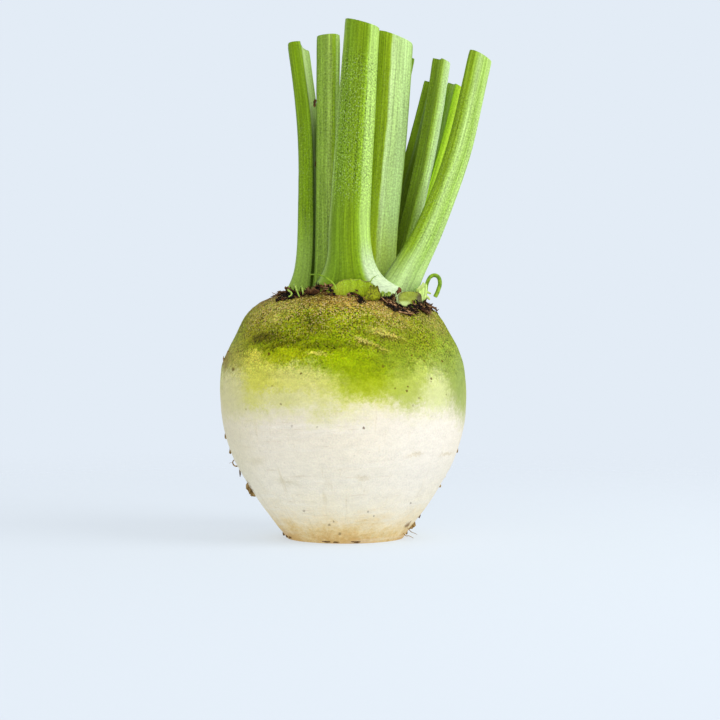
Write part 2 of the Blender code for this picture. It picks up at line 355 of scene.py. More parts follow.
# A soft-edged patch of skin: an oval about a centre, turned in the plane that faces the front.
patch_group, given, result = new_group(
    "skin_patch",
    {"Place": "Vector", "Centre": "Vector", "Reach": "Vector", "Turn": "Float", "Soft": "Float"},
    {"Mask": "Float"},
)
turned = add("ShaderNodeVectorRotate", {
    "Vector": given["Place"] - given["Centre"], "Angle": given["Turn"]
}, rotation_type="Y_AXIS")
far = length_of(turned / given["Reach"])
feed(result["Mask"], eased(far, 1.0 + given["Soft"], 1.0 - given["Soft"]))


def patch(place, centre, reach, turn=0, soft=0.4):
    """Where a soft patch lies: its centre and reach in millimetres, its turn in degrees."""
    feeds = {"Place": place, "Centre": centre, "Reach": reach, "Turn": math.radians(turn), "Soft": soft}
    return use_group(patch_group, feeds)["Mask"]


# Fine dots: each cell of a scatter holds one round speck, or none.
speck_group, given, result = new_group(
    "specks",
    {"Place": "Vector", "Density": "Float", "Size": "Float", "Kept": "Float"},
    {"Mask": "Float"},
)
distance = add("ShaderNodeTexVoronoi", {"Vector": given["Place"], "Scale": given["Density"]}, "Distance")
cell_colour = Flow(speck_group, distance.outlet.node.outputs["Color"])
lot = add("ShaderNodeSeparateColor", {0: cell_colour})
round_dot = eased(distance, given["Size"], given["Size"] * 0.5)
feed(result["Mask"], round_dot * maths("LESS_THAN", lot, given["Kept"]))


def specks(place, density, size, kept):
    """Where fine dots lie: how dense they are, their size in a cell, and the share of cells with one."""
    feeds = {"Place": place, "Density": density, "Size": size, "Kept": kept}
    return use_group(speck_group, feeds)["Mask"]


HEIGHT_COLOURS = (  # height over the cut in millimetres, and the skin's colour there
    (0.0, (217, 178, 112)),
    (4.0, (233, 207, 152)),
    # painted light: the rows from 8.5 to 14 millimetres are lighter than the skin there, against the shade
    # close to the table
    (8.5, (242, 225, 188)),
    (14.0, (244, 233, 206)),
    (22.0, (243, 234, 213)),
    (44.0, (240, 230, 209)),
    (50.0, (232, 225, 182)),
    (54.5, (216, 214, 128)),
    (60.0, (196, 204, 74)),
    (65.0, (164, 182, 24)),
    (70.0, (140, 160, 4)),
    (78.0, (128, 144, 6)),
    (86.0, (134, 144, 24)),
    (90.5, (146, 140, 56)),
    (93.5, (126, 100, 56)),
    (97.0, (84, 62, 40)),
)

# Centre and reach in millimetres, turn in degrees, softness, strength and colour; the broad ones first.
SKIN_PATCHES = (
    # yellower, with painted shade, on the left side away from the window; whiter, with painted light, on the
    # right side that the window lights
    ((-46, -14, 40), (13, 28, 30), 0, 0.6, 0.6, (226, 217, 180)),
    ((34, -32, 34), (22, 18, 24), 0, 0.8, 0.7, (241, 234, 222)),
    # the warm yellow belt under the left shoulder
    ((-32, -34, 62), (17, 16, 8), -4, 0.5, 0.85, (216, 213, 92)),
    ((-42, -22, 57), (8, 12, 9), 0, 0.5, 0.75, (218, 212, 160)),
    ((-42, -20, 70), (6, 14, 4.5), 0, 0.6, 0.7, (172, 164, 70)),
    ((-14, -43, 62), (12, 8, 6.0), -4, 0.6, 0.6, (224, 218, 136)),
    ((-20, -41, 55.5), (18, 12, 2.6), 0, 0.6, 0.6, (228, 222, 168)),
    # the lime green that reaches lowest, right of the middle
    ((13, -44, 66), (15, 10, 8), 6, 0.5, 0.9, (138, 156, 2)),
    ((11, -44, 58.5), (13, 10, 4.0), 2, 0.6, 0.6, (172, 186, 30)),
    ((-2, -44, 69.5), (10, 10, 4.5), 14, 0.5, 0.8, (146, 166, 4)),
    # the bright green under the dark fold, and the pale yellow place beside it
    ((-21, -38, 71.0), (11, 9, 3.0), 6, 0.5, 0.85, (162, 172, 12)),
    ((-34, -33, 69.8), (4.5, 8, 3.0), 0, 0.4, 0.8, (210, 204, 84)),
    # fuzzy yellow-green between the lime and the pale place
    ((24, -39, 60), (8, 9, 9), 0, 0.5, 0.75, (174, 188, 72)),
    ((24, -39, 71), (12, 9, 7), 0, 0.5, 0.7, (132, 150, 36)),
    ((20, -36, 79), (18, 12, 7), 0, 0.6, 0.65, (124, 134, 30)),
    # the right cheek, greyer green, that reaches down along the side
    ((41, -22, 66), (8, 16, 15), 8, 0.5, 0.75, (140, 160, 66)),
    ((45, -10, 60), (6, 14, 14), 0, 0.5, 0.7, (152, 172, 90)),
    ((34, -30, 57), (5.5, 9, 7), 0, 0.6, 0.85, (214, 220, 150)),
    ((28, -34, 64.5), (3.5, 9, 3.5), 0, 0.6, 0.5, (190, 204, 96)),
    # tan and grey-brown worn skin next to the crown
    ((-27, -22, 87), (11, 14, 5.0), 0, 0.6, 0.7, (178, 172, 82)),
    ((-6, -36, 84), (14, 12, 5), 0, 0.7, 0.4, (156, 164, 30)),
    ((-34, -24, 79), (8, 12, 6), 20, 0.6, 0.5, (158, 150, 52)),
    ((-22, -27, 88.5), (8, 8, 1.6), 4, 0.7, 0.5, (176, 170, 96)),
    ((0, -31, 89.8), (11, 6, 2.6), 0, 0.7, 0.6, (164, 136, 66)),
    ((3, -32, 90.6), (7, 6, 1.6), 0, 0.7, 0.4, (190, 150, 94)),
    ((-12, -31, 91), (9, 6, 1.6), 0, 0.7, 0.5, (134, 108, 58)),
    ((13, -31, 88.4), (10, 7, 2.4), -24, 0.6, 0.7, (172, 142, 88)),
    ((16, -31, 84.4), (10, 7, 2.6), -20, 0.6, 0.5, (150, 138, 66)),
    ((33, -20, 84), (10, 9, 4.5), -36, 0.6, 0.5, (146, 140, 82)),
    # the brown, corky side scars
    ((-45, -9, 68), (2.2, 9, 5), 0, 0.6, 0.7, (132, 104, 54)),
    ((26.4, -33.4, 34.4), (3.5, 4, 0.7), 6, 0.7, 0.45, (204, 186, 146)),
    ((38.6, -19.7, 33.6), (4, 6, 0.7), 4, 0.7, 0.45, (204, 186, 146)),
    ((6.5, -38.3, 26.0), (2.2, 3, 0.9), 0, 0.6, 0.3, (206, 186, 140)),
    ((-21, -32.5, 24), (5, 5, 1.2), -8, 0.8, 0.3, (200, 188, 150)),
    ((-32.5, -28.2, 31.5), (4, 5, 1.4), 8, 0.8, 0.25, (196, 184, 140)),
    ((7.1, -44.1, 44.5), (2.3, 3, 1.5), 0, 0.5, 0.35, (246, 240, 226)),
    ((-36.5, -8, 20), (1.4, 4, 3.2), 0, 0.7, 0.7, (120, 92, 60)),
    ((24.1, -12, 5.9), (1.4, 2, 1.3), 0, 0.6, 0.8, (120, 84, 52)),
    # the dark torn scars under the right of the crown, and a hole that dried open, painted dark inside as
    # painted shade
    ((19.0, -28.5, 88.7), (6.6, 6, 1.5), -27, 0.5, 0.85, (48, 30, 22)),
    ((29.5, -18, 88.4), (4.0, 6, 1.4), -30, 0.5, 0.75, (64, 40, 32)),
    ((6.2, -31.0, 91.0), (1.3, 2, 1.1), 0, 0.4, 0.95, (30, 18, 16)),
    # dark patches under the litter heaps: the litter's own colour, with painted shade under it
    ((-21, -18, 93.2), (4.5, 9, 1.8), 0, 0.5, 0.95, (28, 19, 17)),
    ((-12, -22, 94.0), (5, 8, 1.4), 0, 0.6, 0.8, (64, 32, 24)),
    ((15, -24, 92.3), (4.5, 8, 0.9), 0, 0.5, 0.9, (30, 20, 14)),
    # scratched, healed streaks with a shaded side
    ((15.7, -37.5, 78.4), (6, 5, 0.75), -13, 0.6, 0.65, (206, 192, 112)),
    ((16.5, -37.5, 77.0), (6, 5, 0.7), -13, 0.7, 0.7, (92, 82, 22)),
    ((12.7, -38.5, 80.4), (4, 5, 0.5), -10, 0.7, 0.45, (196, 182, 104)),
    ((6.9, -41.2, 76.1), (3.4, 4, 0.7), -16, 0.5, 0.75, (212, 200, 118)),
    ((7.8, -41.2, 75.1), (4, 4, 0.6), -14, 0.6, 0.7, (88, 80, 16)),
    ((12.4, -40.9, 73.7), (4, 5, 0.6), -22, 0.6, 0.6, (198, 186, 92)),
    ((12.0, -40.9, 72.8), (3.4, 5, 0.5), -22, 0.6, 0.5, (100, 92, 16)),
    ((-10.1, -43.2, 71.5), (3.4, 4, 0.6), -4, 0.5, 0.8, (214, 206, 96)),
    ((-25, -29, 84), (3, 5, 0.7), 0, 0.7, 0.5, (200, 192, 110)),
)

# The dark olive folds of the left shoulder, rough with dark grains, in the same columns as the patches.
FOLDS = (
    ((-28, -32, 77.2), (11, 9, 2.8), 4, 0.6, 0.35, (92, 84, 8)),
    ((-29.5, -31, 77.2), (7.5, 7, 1.6), 6, 0.5, 0.62, (56, 44, 6)),
    ((-19, -36, 75.4), (6, 6, 1.6), 14, 0.6, 0.62, (72, 64, 6)),
    ((-11, -36.5, 84), (5, 6, 3.2), 20, 0.7, 0.65, (70, 72, 8)),
    ((-12, -37, 80), (7, 6, 2.0), 30, 0.7, 0.45, (96, 94, 10)),
    ((-9, -42.5, 74.3), (9, 6, 1.2), 4, 0.6, 0.5, (78, 78, 4)),
    ((-1, -43, 73.3), (7, 6, 0.8), 6, 0.6, 0.5, (84, 78, 6)),
    ((-27, -35.5, 73.6), (5, 6, 1.0), 10, 0.6, 0.45, (96, 88, 8)),
)

# Single brown pores and spots: centre and radius in millimetres, and strength.
SKIN_SPOTS = (
    ((-40.0, -22.4, 72.0), 0.4, 0.9),
    ((-41.8, -22.7, 65.6), 0.79, 0.69),
    ((-27.5, -36.0, 71.2), 0.58, 0.86),
    ((-15.5, -43.7, 64.1), 0.43, 0.75),
    ((-26.2, -39.3, 59.5), 0.36, 0.46),
    ((-22.9, -41.0, 53.0), 0.43, 0.52),
    ((-36.4, -30.5, 50.9), 0.35, 0.46),
    ((5.4, -39.9, 79.2), 0.43, 0.69),
    ((24.8, -36.1, 70.8), 0.4, 0.8),
    ((27.1, -35.2, 69.4), 0.36, 0.57),
    ((29.3, -33.6, 68.6), 0.36, 0.86),
    ((32.0, -33.0, 62.0), 0.43, 0.9),
    ((31.9, -33.0, 60.9), 0.35, 0.69),
    ((14.1, -42.5, 66.5), 0.5, 0.57),
    ((23.3, -39.2, 59.5), 0.36, 0.69),
    ((18.5, -41.6, 58.8), 0.35, 0.57),
    ((22.9, -39.4, 57.7), 0.43, 0.75),
    ((27.4, -36.7, 55.1), 0.35, 0.57),
    ((25.1, -38.0, 52.2), 0.35, 0.52),
    ((36.3, -26.7, 68.6), 0.43, 0.8),
    ((37.8, -27.2, 56.3), 0.35, 0.52),
    ((7.1, -44.1, 44.5), 0.43, 0.8),
    ((-9.7, -44.5, 44.8), 0.36, 0.34),
    ((-18.8, -41.9, 45.1), 0.43, 0.34),
    ((-15.0, -27.9, 12.9), 0.5, 0.4),
    ((8.8, -29.8, 12.7), 0.43, 0.46),
    ((11.0, -27.8, 11.0), 0.43, 0.57),
    ((-5.7, -27.0, 7.6), 0.5, 0.52),
    ((-3.9, -28.2, 8.8), 0.36, 0.52),
    ((24.9, -22.1, 15.3), 0.43, 0.46),
    ((-1.7, -24.8, 4.0), 0.5, 0.52),
)

MIDDLE = (0.5, 0.5, 0.5)  # what soft noise is on average
CHART_TOP = 100.0  # the height in millimetres at the end of the chart of colours
SMALL_PATCH = 2.0  # a patch that reaches no higher than this, in millimetres, has finer rags at its edge

skin, tree, shader = new_finish("beetroot_skin", specular_ior_level=0.05)
place = place_on(tree)
wander = grain(place, 0.09, 3.0, 0.55, True) - MIDDLE
rags = grain(place, 0.5, 4.0, 0.65, True) - MIDDLE
frays = grain(place, 1.3, 3.0, 0.7, True) - MIDDLE
smudged = place + rags * 1.6
frayed = place + (rags * 4.0 + frays * 2.6)
ragged = place + (rags * 10.0 + frays * 6.0)
level = parted(ragged + wander * 15.0)[2]
colour = ramp(level / CHART_TOP, [(height / CHART_TOP, shade) for height, shade in HEIGHT_COLOURS])

# Veins that run down the skin, and faint lines that run round it.
aside, deep, high = parted(place)
girth = maths("MAXIMUM", maths("SQRT", aside * aside + deep * deep), 1.0)
veins = eased(grain(combined(aside / girth, deep / girth, high * 0.004), 16.0, 4.0, 0.6), 0.56, 0.72)


def hoops(stretch, fineness):
    """Lines that run round the skin, a little aslant."""
    slant = high * fineness - aside * (0.05 * fineness)
    return grain(combined(aside * stretch, deep * stretch, slant), 1.0, 5.0, 0.6)


lines = hoops(0.03, 0.42)
hairlines = hoops(0.09, 1.5)
rows = hoops(0.3, 0.8)
buried = eased(high, 60.0, 46.0)
colour = blended(veins * buried * 0.4, colour, tint(216, 200, 160))
colour = blended(eased(lines, 0.5, 0.75) * buried * 0.34, colour, tint(250, 245, 234))
colour = blended(eased(hairlines, 0.60, 0.68) * buried * 0.28, colour, tint(206, 184, 148))

folded = 0.0
for marks in (SKIN_PATCHES, FOLDS):
    for centre, reach, turn, soft, strength, shade in marks:
        mask = patch(ragged if reach[2] > SMALL_PATCH else frayed, centre, reach, turn, soft)
        colour = blended(mask * strength, colour, tint(*shade))
        if marks is FOLDS:
            folded = maths("MAXIMUM", folded, mask)

# The weathered shoulder: corky grains, tan and dark, thickest next to the crown, and uneven light and dark.
weather = eased(level, 60.0, 82.0)
near_crown = eased(level, 76.0, 88.0)
fine = grain(place, 1.6, 1.0, 0.5)
hues = grain(place, 1.4, 1.0, 0.6, True) - MIDDLE
clouds = grain(place * (0.22, 0.3, 0.5), 1.0, 4.0, 0.62)
patchy = eased(grain(place * (0.10, 0.12, 0.17), 1.0, 3.0, 0.6), 0.42, 0.58, 0.35, 1.0)
amount = (eased(high, 56.0, 80.0, 0.26, 3.2) + near_crown * 2.6) * (0.5 + patchy * 0.5)
shade = 1.0 + amount * (fine - 0.5) + eased(high, 50.0, 78.0, 0.25, 1.5) * (clouds - 0.5)
shade += weather * ((rows - 0.5) * 1.1)
colour = colour * maths("MAXIMUM", shade, 0.3)
hue_shift = hues * (amount * 0.22) + (1.0, 1.0, 1.0)
colour = colour * hue_shift * combined(1.0, 1.0, eased(high, 64.0, 78.0, 1.0, 0.7))
moved = place + frays * 0.8
tan_dots = specks(moved, 1.2, 0.44, 0.55)
moved += (31.4, 7.7, 3.1)
dark_dots = specks(moved, 1.05, 0.46, 0.55)
moved += (11.4, 3.7, 8.1)
pink_dots = specks(moved, 1.3, 0.46, 0.5)
grown = patchy * (weather * 0.42 + near_crown * 0.55)
colour = blended(dark_dots * maths("MAXIMUM", grown, folded * 0.9), colour, tint(44, 42, 4))
colour = blended(tan_dots * (grown * 0.9), colour, tint(220, 198, 100))
browns = eased(grain(place, 0.8, 3.0, 0.7), 0.52, 0.60) * (near_crown * 0.45)
colour = blended(browns, colour, tint(112, 80, 30))
colour = blended(pink_dots * (near_crown * 0.7), colour, tint(236, 206, 148))
colour = blended(specks(place, 0.35, 0.14, 0.35) * (0.14 + weather * 0.5), colour, tint(104, 76, 24))
for centre, radius, strength in SKIN_SPOTS:
    mask = patch(smudged, centre, (radius, radius * 2, radius))
    colour = blended(mask * strength, colour, tint(92, 58, 18))
skin_height = lines * 0.35 + fine * (0.25 + weather * 1.3) + (tan_dots - dark_dots) * (grown * 0.5)
coat(shader, colour, skin_height, 0.35, 0.7, fine * 0.25 + weather * 0.14 + 0.38)

# The flat cut at the bottom: pale flesh in faint rings round the fibrous heart.
flesh, tree, shader = new_finish("cut_flesh", roughness=0.5, specular_ior_level=0.4)
place = place_on(tree)
aside, deep, _ = parted(place)
girth = maths("SQRT", aside * aside + deep * deep)
rings = maths("SINE", (girth + grain(place, 0.12, 3.0) * 5.0) * 1.7)
colour = blended(eased(rings, -0.4, 0.9), tint(226, 212, 170), tint(238, 230, 204))
colour = blended(eased(girth, 19.0, 22.5), colour, tint(196, 158, 96))
colour = blended(eased(grain(place, 1.4, 4.0, 0.7), 0.5, 0.75, 0.0, 0.4), colour, tint(204, 182, 124))
coat(shader, colour, grain(place, 1.2, 4.0, 0.7), 0.3, 0.6)

root.data.materials.append(skin)
root.data.materials.append(flesh)
for face in root.data.polygons:
    if face.normal.z < -0.9 and face.center.z < 0.1 * MM:
        face.material_index = 1
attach(root, "root")
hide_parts("swollen_root")

# ---- The leaf stalks ----
# Ten fleshy green stalks, each broad and clasping where it grows from the crown, ribbed along its rounded
# back and hollowed along its inner side. The blades were taken off with one slanting cut through them all.

SQUARENESS = 0.82
FLARE_START = 9.0
FIN_REACH = 16.0
END_REACH = 0.08  # the share of a stalk over which its slanting end is drawn out
RING_CROWDING = 1.25  # the rings stand closer towards the foot, which bends more
RIB_DEPTH = 0.16
SWELL = 0.18  # how unevenly a stalk swells along its length
FINE_RELIEF = 0.05
RIM_WEAR = 0.12  # how far the rim of the cut has shrunk
ROUTE_STEPS = 10
STALK_AROUND = 144
STALK_RINGS = 90
SIDE_RIM = 0.97  # the share of the rod's radius past which a point is on the side, and not on the end
END_RING = 0.999  # the share of its length past which a point is at the cut
END_INSETS = (0.05, 0.12, 0.16, 0.18, 0.18, 0.16)
MAP_SPAN = 240.0  # the millimetres that one turn of a leaf map covers
MAP_BACK = 0.25  # where the middle of the back lies across the map
MAP_END = (0.8, 0.1)  # where the middle of the cut end lies
BAND_SPAN = 32.0  # the millimetres that the colour bands of a stalk cover


def heading(azimuth):
    return Vector((math.cos(math.radians(azimuth)), math.sin(math.radians(azimuth)), 0))


def leaf(route, width, thickness, facing, cut=(0, 0), wrap=0.0, flare=5.0, ribs=9, fins=(0, 0), seed=0.0,
         channel=0.78, torn=()):
    """How a leaf base is shaped: in millimetres, and degrees for the azimuth that its back faces."""
    return dict(
        route=route, width=width, thickness=thickness, facing=facing, cut=cut, wrap=wrap, flare=flare,
        ribs=ribs, fins=fins, seed=seed, channel=channel, torn=torn,
    )


def section_point(angle, width, thickness, wrap, channel):
    """A point of a leaf stalk's outline: a rounded back at +y, a channel at -y, curled by wrap."""
    across, back = math.cos(angle), math.sin(angle)
    across = math.copysign(abs(across) ** SQUARENESS, across)
    back = math.copysign(abs(back) ** SQUARENESS, back)
    if back < 0:
        back *= 1 - channel * (1 - across**2)
    x = across * width / 2
    return Vector((x, back * thickness / 2 - wrap * x**2 / 2))


def girth_table(width, thickness, channel):
    """The distance round the outline from the middle of the back, at each of the rod's corners."""
    turns = [math.pi / 2 + math.tau * i / STALK_AROUND for i in range(STALK_AROUND + 1)]
    points = [section_point(turn, width, thickness, 0, channel) for turn in turns]
    table = [0.0]
    for a, b in zip(points, points[1:]):
        table.append(table[-1] + (b - a).length)
    return table


def ribbing(share, ribs, seed):
    """Uneven ribs, from 0 in a furrow to 1 on a rib, at a share of the girth from the back's middle."""
    turn = share * ribs + 0.22 * math.sin(share * 17 + seed) + 0.15 * math.sin(share * 41 + 2 * seed)
    return 0.5 + 0.5 * math.cos(math.tau * turn)


def ringed_rod(corners, rings):
    """An upright rod, one unit long and one in radius, cut into rings and left in edit mode."""
    nothing_selected()
    bpy.ops.mesh.primitive_cylinder_add(vertices=corners, radius=1, depth=1, location=(0, 0, 0))
    rod = bpy.context.object
    bpy.ops.object.mode_set(mode="EDIT")
    bpy.ops.mesh.select_mode(type="EDGE")
    bpy.ops.mesh.select_all(action="DESELECT")
    work = bmesh.from_edit_mesh(rod.data)
    for edge in work.edges:
        edge.select_set(abs(edge.verts[0].co.z - edge.verts[1].co.z) > 0.5)
    bmesh.update_edit_mesh(rod.data)
    bpy.ops.mesh.subdivide(number_cuts=rings)
    return rod


def leaf_base(name, shape, rings=STALK_RINGS):
    """Draws a round rod out along a leaf stalk's route, with its own section, ribs, foot and cut end."""
    piece = ringed_rod(STALK_AROUND, rings)
    piece.name = name
    bpy.ops.mesh.select_mode(type="FACE")
    bpy.ops.mesh.select_all(action="DESELECT")
    work = bmesh.from_edit_mesh(piece.data)
    for face in work.faces:
        face.select_set(face.normal.z > 0.9)
    bmesh.update_edit_mesh(piece.data)
    for width in END_INSETS:
        bpy.ops.mesh.inset(thickness=width)
    bpy.ops.mesh.merge(type="CENTER")
    bpy.ops.object.mode_set(mode="OBJECT")

    route = smooth_through(shape["route"], ROUTE_STEPS)
    length = sum((b - a).length for a, b in zip(route, route[1:]))
    outward = heading(shape["facing"])
    channel, seed, torn = shape["channel"], shape["seed"], shape["torn"]
    girths = girth_table(shape["width"][1], shape["thickness"][1], channel)
    frames = {}
    places = []
    for vertex in piece.data.vertices:
        share = (round((vertex.co.z + 0.5) * (rings + 1)) / (rings + 1)) ** RING_CROWDING
        if share not in frames:
            centre, direction = along(route, share)
            back = (outward - outward.dot(direction) * direction).normalized()
            flare = min(1.0, math.exp((FLARE_START - share * length) / shape["flare"]))
            sizes = [
                stem + (tip - stem) * share + (foot - stem) * flare
                for foot, stem, tip in (shape["width"], shape["thickness"])
            ]
            frames[share] = (centre, direction, back, direction.cross(back), flare, sizes)
        centre, direction, back, across, flare, sizes = frames[share]
        seat = share * length
        radial = math.hypot(vertex.co.x, vertex.co.y)
        angle = math.atan2(vertex.co.y, vertex.co.x) if radial > 1e-4 else 0.0
        point = section_point(angle, *sizes, shape["wrap"] * flare, channel)
        girth = girths[round((angle - math.pi / 2) / math.tau * STALK_AROUND) % STALK_AROUND]
        if girth > girths[-1] / 2:
            girth -= girths[-1]
        turn = girth / girths[-1]
        if radial > SIDE_RIM:
            ahead, behind = (section_point(angle + step, *sizes, 0, channel) for step in (0.02, -0.02))
            outer = Vector((ahead.y - behind.y, behind.x - ahead.x)).normalized()
            back_side = min(1.0, max(0.25, math.sin(angle) * 1.5 + 0.7))
            rise = RIB_DEPTH * (ribbing(turn, shape["ribs"], seed) - 0.5) * back_side
            rise += SWELL * noise.noise(Vector((math.cos(angle), math.sin(angle), seat * 0.045 + seed * 7)))
            rise += FINE_RELIEF * noise.noise(Vector((turn * 40, seat * 0.2, seed)))
            if share > END_RING:
                rise -= RIM_WEAR
            point += outer * rise
        else:
            point *= radial
        side = 1 if math.cos(angle) > 0 else 0
        fin = shape["fins"][side] * bell(max(0.0, seat - FLARE_START) / FIN_REACH)
        fin *= abs(math.cos(angle)) ** 6
        point.x += math.copysign(fin * radial, math.cos(angle))
        lift = shape["cut"][0] * point.x + shape["cut"][1] * point.y
        if torn:
            ragged = noise.noise(Vector((point.x * 0.35, seed * 3.7, 0)))
            ragged += 0.6 * noise.noise(Vector((point.x * 1.3, seed * 2.3, 5)))
            lift -= torn[0] * (2 * point.x / sizes[0]) ** 2 + torn[1] * (0.4 - ragged)
        lift *= max(0.0, 1 - (1 - share) / (1.0 if torn else END_REACH)) ** 2
        if share > END_RING and radial < SIDE_RIM:
            lift += 0.10 * noise.noise(Vector((point.x, point.y, seed))) - 0.12 * bell(radial / 0.8)
        spot = centre + across * point.x + back * point.y + direction * lift
        places.append((spot, girth, seat, radial, point))
    for vertex, (spot, *_) in zip(piece.data.vertices, places):
        vertex.co = spot * MM
    # The section is laid out as seen from its foot, which turned the faces inward: they are turned back.
    bpy.ops.object.mode_set(mode="EDIT")
    bpy.ops.mesh.select_all(action="SELECT")
    bpy.ops.mesh.flip_normals()
    bpy.ops.object.mode_set(mode="OBJECT")
    lay_map(piece, places, girths[-1])
    bpy.ops.object.shade_smooth_by_angle(angle=math.radians(50))
    return piece


def lay_map(piece, places, whole):
    """Lays a stalk's map: across it from the middle of its back, and along it; the cut end lies aside."""
    layer = piece.data.uv_layers.active
    for face in piece.data.polygons:
        corners = [(loop, places[piece.data.loops[loop].vertex_index]) for loop in face.loop_indices]
        on_end = min(place[3] for _, place in corners) < SIDE_RIM
        face.material_index = 1 if on_end else 0
        wrapped = max(p[1] for _, p in corners) - min(p[1] for _, p in corners) > whole / 2
        for loop, (_, girth, seat, _, point) in corners:
            if on_end:
                layer.data[loop].uv = (MAP_END[0] + point.x / MAP_SPAN, MAP_END[1] + point.y / MAP_SPAN)
            else:
                if wrapped and girth < 0:
                    girth += whole
                layer.data[loop].uv = (MAP_BACK - girth / MAP_SPAN, seat / MAP_SPAN)


def unrolled(leaf_map):
    """A place on a leaf map in millimetres: across from the middle of the back, and along from the foot."""
    across, lengthwise, _ = parted(leaf_map)
    return (across - MAP_BACK) * MAP_SPAN, lengthwise * MAP_SPAN


# Where a point lies across a leaf stalk, from 0 to 1, with the middle of the rounded back at a half.
across_group, given, result = new_group(
    "leaf_across", {"Map": "Vector", "Seed": "Float"}, {"Share": "Float"}
)
across, lengthwise = unrolled(given["Map"])
wobble = (grain(combined(across * 0.3, lengthwise * 0.06, given["Seed"]), 1.0, 3.0, 0.6) - 0.5) * 1.6
feed(result["Share"], (across + wobble) / BAND_SPAN + 0.5)

# Leaf stalk skin over its base colour: fibres along it, fine dew as bumps with painted glints and painted
# shadows, small blemishes, and a foot that is blanched on some stalks and painted in shade on others.
stalk_group, given, result = new_group(
    "leaf_stalk_skin",
    {
        "Map": "Vector", "Base": "Color", "Blanch and shade": "Color",
        "Dew from": "Float", "Dew to": "Float", "Dew": "Float",
        "Foot from": "Float", "Foot top": "Float", "Foot": "Float",
        "Fibre": "Float", "Seed": "Float",
    },
    {"Colour": "Color", "Roughness": "Float", "Height": "Float"},
)
across, lengthwise = unrolled(given["Map"])


def leaf_grain(fine_across, fine_along, detail, rough):
    """Soft noise drawn out along a stalk, and different on each."""
    return grain(combined(across * fine_across, lengthwise * fine_along, given["Seed"]), 1.0, detail, rough)


fibres = leaf_grain(0.9, 0.02, 2.0, 0.55)
threads = leaf_grain(1.9, 0.045, 1.0, 0.5)
mottle = leaf_grain(0.35, 0.12, 3.0, 0.6)
dew_and_glints = leaf_grain(1.9, 1.5, 2.0, 0.65)
tissue = leaf_grain(1.1, 0.9, 3.0, 0.7) - 0.5
grit = leaf_grain(1.5, 1.3, 2.0, 0.6) - 0.5
striped = ((fibres - 0.5) * 1.15 + (threads - 0.5) * 1.1) * given["Fibre"]
wet = eased(lengthwise, given["Dew from"], given["Dew from"] + 16.0)
wet = wet * eased(lengthwise, given["Dew to"] + 12.0, given["Dew to"]) * given["Dew"]
shade = 1.0 + striped + (mottle - 0.5) * 0.35 + (tissue * 0.55 + grit * 1.7 * (0.5 + wet * 1.2))
colour = given["Base"] * shade
# painted highlights and painted shadows of dew drops: light and dark flecks where the stalk is wet
colour = blended(eased(dew_and_glints, 0.54, 0.64) * wet * 0.42, colour, tint(172, 202, 120))
colour = blended(eased(dew_and_glints, 0.47, 0.38) * wet * 0.42, colour, tint(64, 104, 22))
# painted glints on small beads of dew, which also stand up as bumps
bead_glints = specks(combined(across, lengthwise * 0.8, given["Seed"]), 1.2, 0.34, 0.5)
colour = blended(bead_glints * (0.04 + wet * 0.34), colour, tint(204, 226, 160))
colour = blended(eased(leaf_grain(0.5, 0.28, 4.0, 0.75), 0.70, 0.76) * 0.6, colour, tint(120, 112, 40))
foot = eased(lengthwise + mottle * 6.0, given["Foot top"], given["Foot top"] - 22.0) * given["Foot"]
foot = foot * eased(across, given["Foot from"] - 1.0, given["Foot from"] + 1.0)
# the foot's colour: blanched pale on some stalks, painted shade on the back stalks where they stand deep
# between the others
colour = blended(foot, colour, given["Blanch and shade"] * (1.0 + (tissue * 0.6 + grit * 0.8)))
feed(result["Colour"], colour)
feed(result["Roughness"], 0.40 + dew_and_glints * 0.2)
feed(result["Height"], fibres * 0.6 + threads * 0.3 + (dew_and_glints + bead_glints) * wet * 0.7)


def end_skin(name, pith, rind, size, rim=0.25, marks=()):
    """A cut end: wet pith inside a darker rind of a size across and through, dotted with cut fibres."""
    material, tree, shader = new_finish(name, roughness=0.42, specular_ior_level=0.35)
    place = (map_on(tree) - (*MAP_END, 0.0)) * MAP_SPAN
    cloudy = grain(place, 0.6, 4.0, 0.65)
    colour = blended(eased(cloudy, 0.35, 0.65), tint(*pith), tint(*[0.86 * c for c in pith]))
    colour = blended(specks(place, 0.7, 0.3, 0.8) * 0.35, colour, tint(*rind))
    out = length_of(place / (size[0] / 2, size[1] / 2, 1.0)) + (cloudy - 0.5) * 0.6
    colour = blended(eased(out, 1.0 - rim, 1.0, 0.0, 0.9), colour, tint(*rind))
    for centre, reach, shade in marks:
        mask = patch(place, (*centre, 0.0), (*reach, 9.0), soft=0.6)
        colour = blended(mask * 0.9, colour, tint(*shade))
    coat(shader, colour, grain(place, 1.6, 3.0), 0.2, 0.6)
    return material


def stalk_finish(name, seed, bands, dew_and_glints=(0, 0, 0), blanch_and_shade=(224, 242, 204), foot=(-40, 0.0, 34), fibre=1.0):
    """One stalk's own skin. Bands are the millimetres from the middle of its back, and the colour there;
    some dark bands at edges that stand in gaps are painted shade, and some light bands are painted light.
    """
    material, tree, shader = new_finish(name, specular_ior_level=0.09)
    leaf_map = map_on(tree)
    share = use_group(across_group, {"Map": leaf_map, "Seed": seed})["Share"]
    made = use_group(stalk_group, {
        "Map": leaf_map, "Base": ramp(share, [(0.5 + place / BAND_SPAN, shade) for place, shade in bands]),
        "Blanch and shade": tint(*blanch_and_shade), "Dew from": dew_and_glints[0], "Dew to": dew_and_glints[1], "Dew": dew_and_glints[2], "Foot from": foot[0],
        "Foot": foot[1], "Foot top": foot[2], "Fibre": fibre, "Seed": seed,
    })
    coat(shader, made["Colour"], made["Height"], 0.22, 0.7, made["Roughness"])
    return material


def leaf_finishes(node, shape, look, *end):
    """The skin of a leaf base, and the finish of its cut end."""
    size = (shape["width"][2], shape["thickness"][2])
    pith, rind, *rest = end
    return (
        stalk_finish(f"{node}_skin", shape["seed"] * 13, **look),
        end_skin(f"{node}_cut", pith, rind, size, *rest),
    )


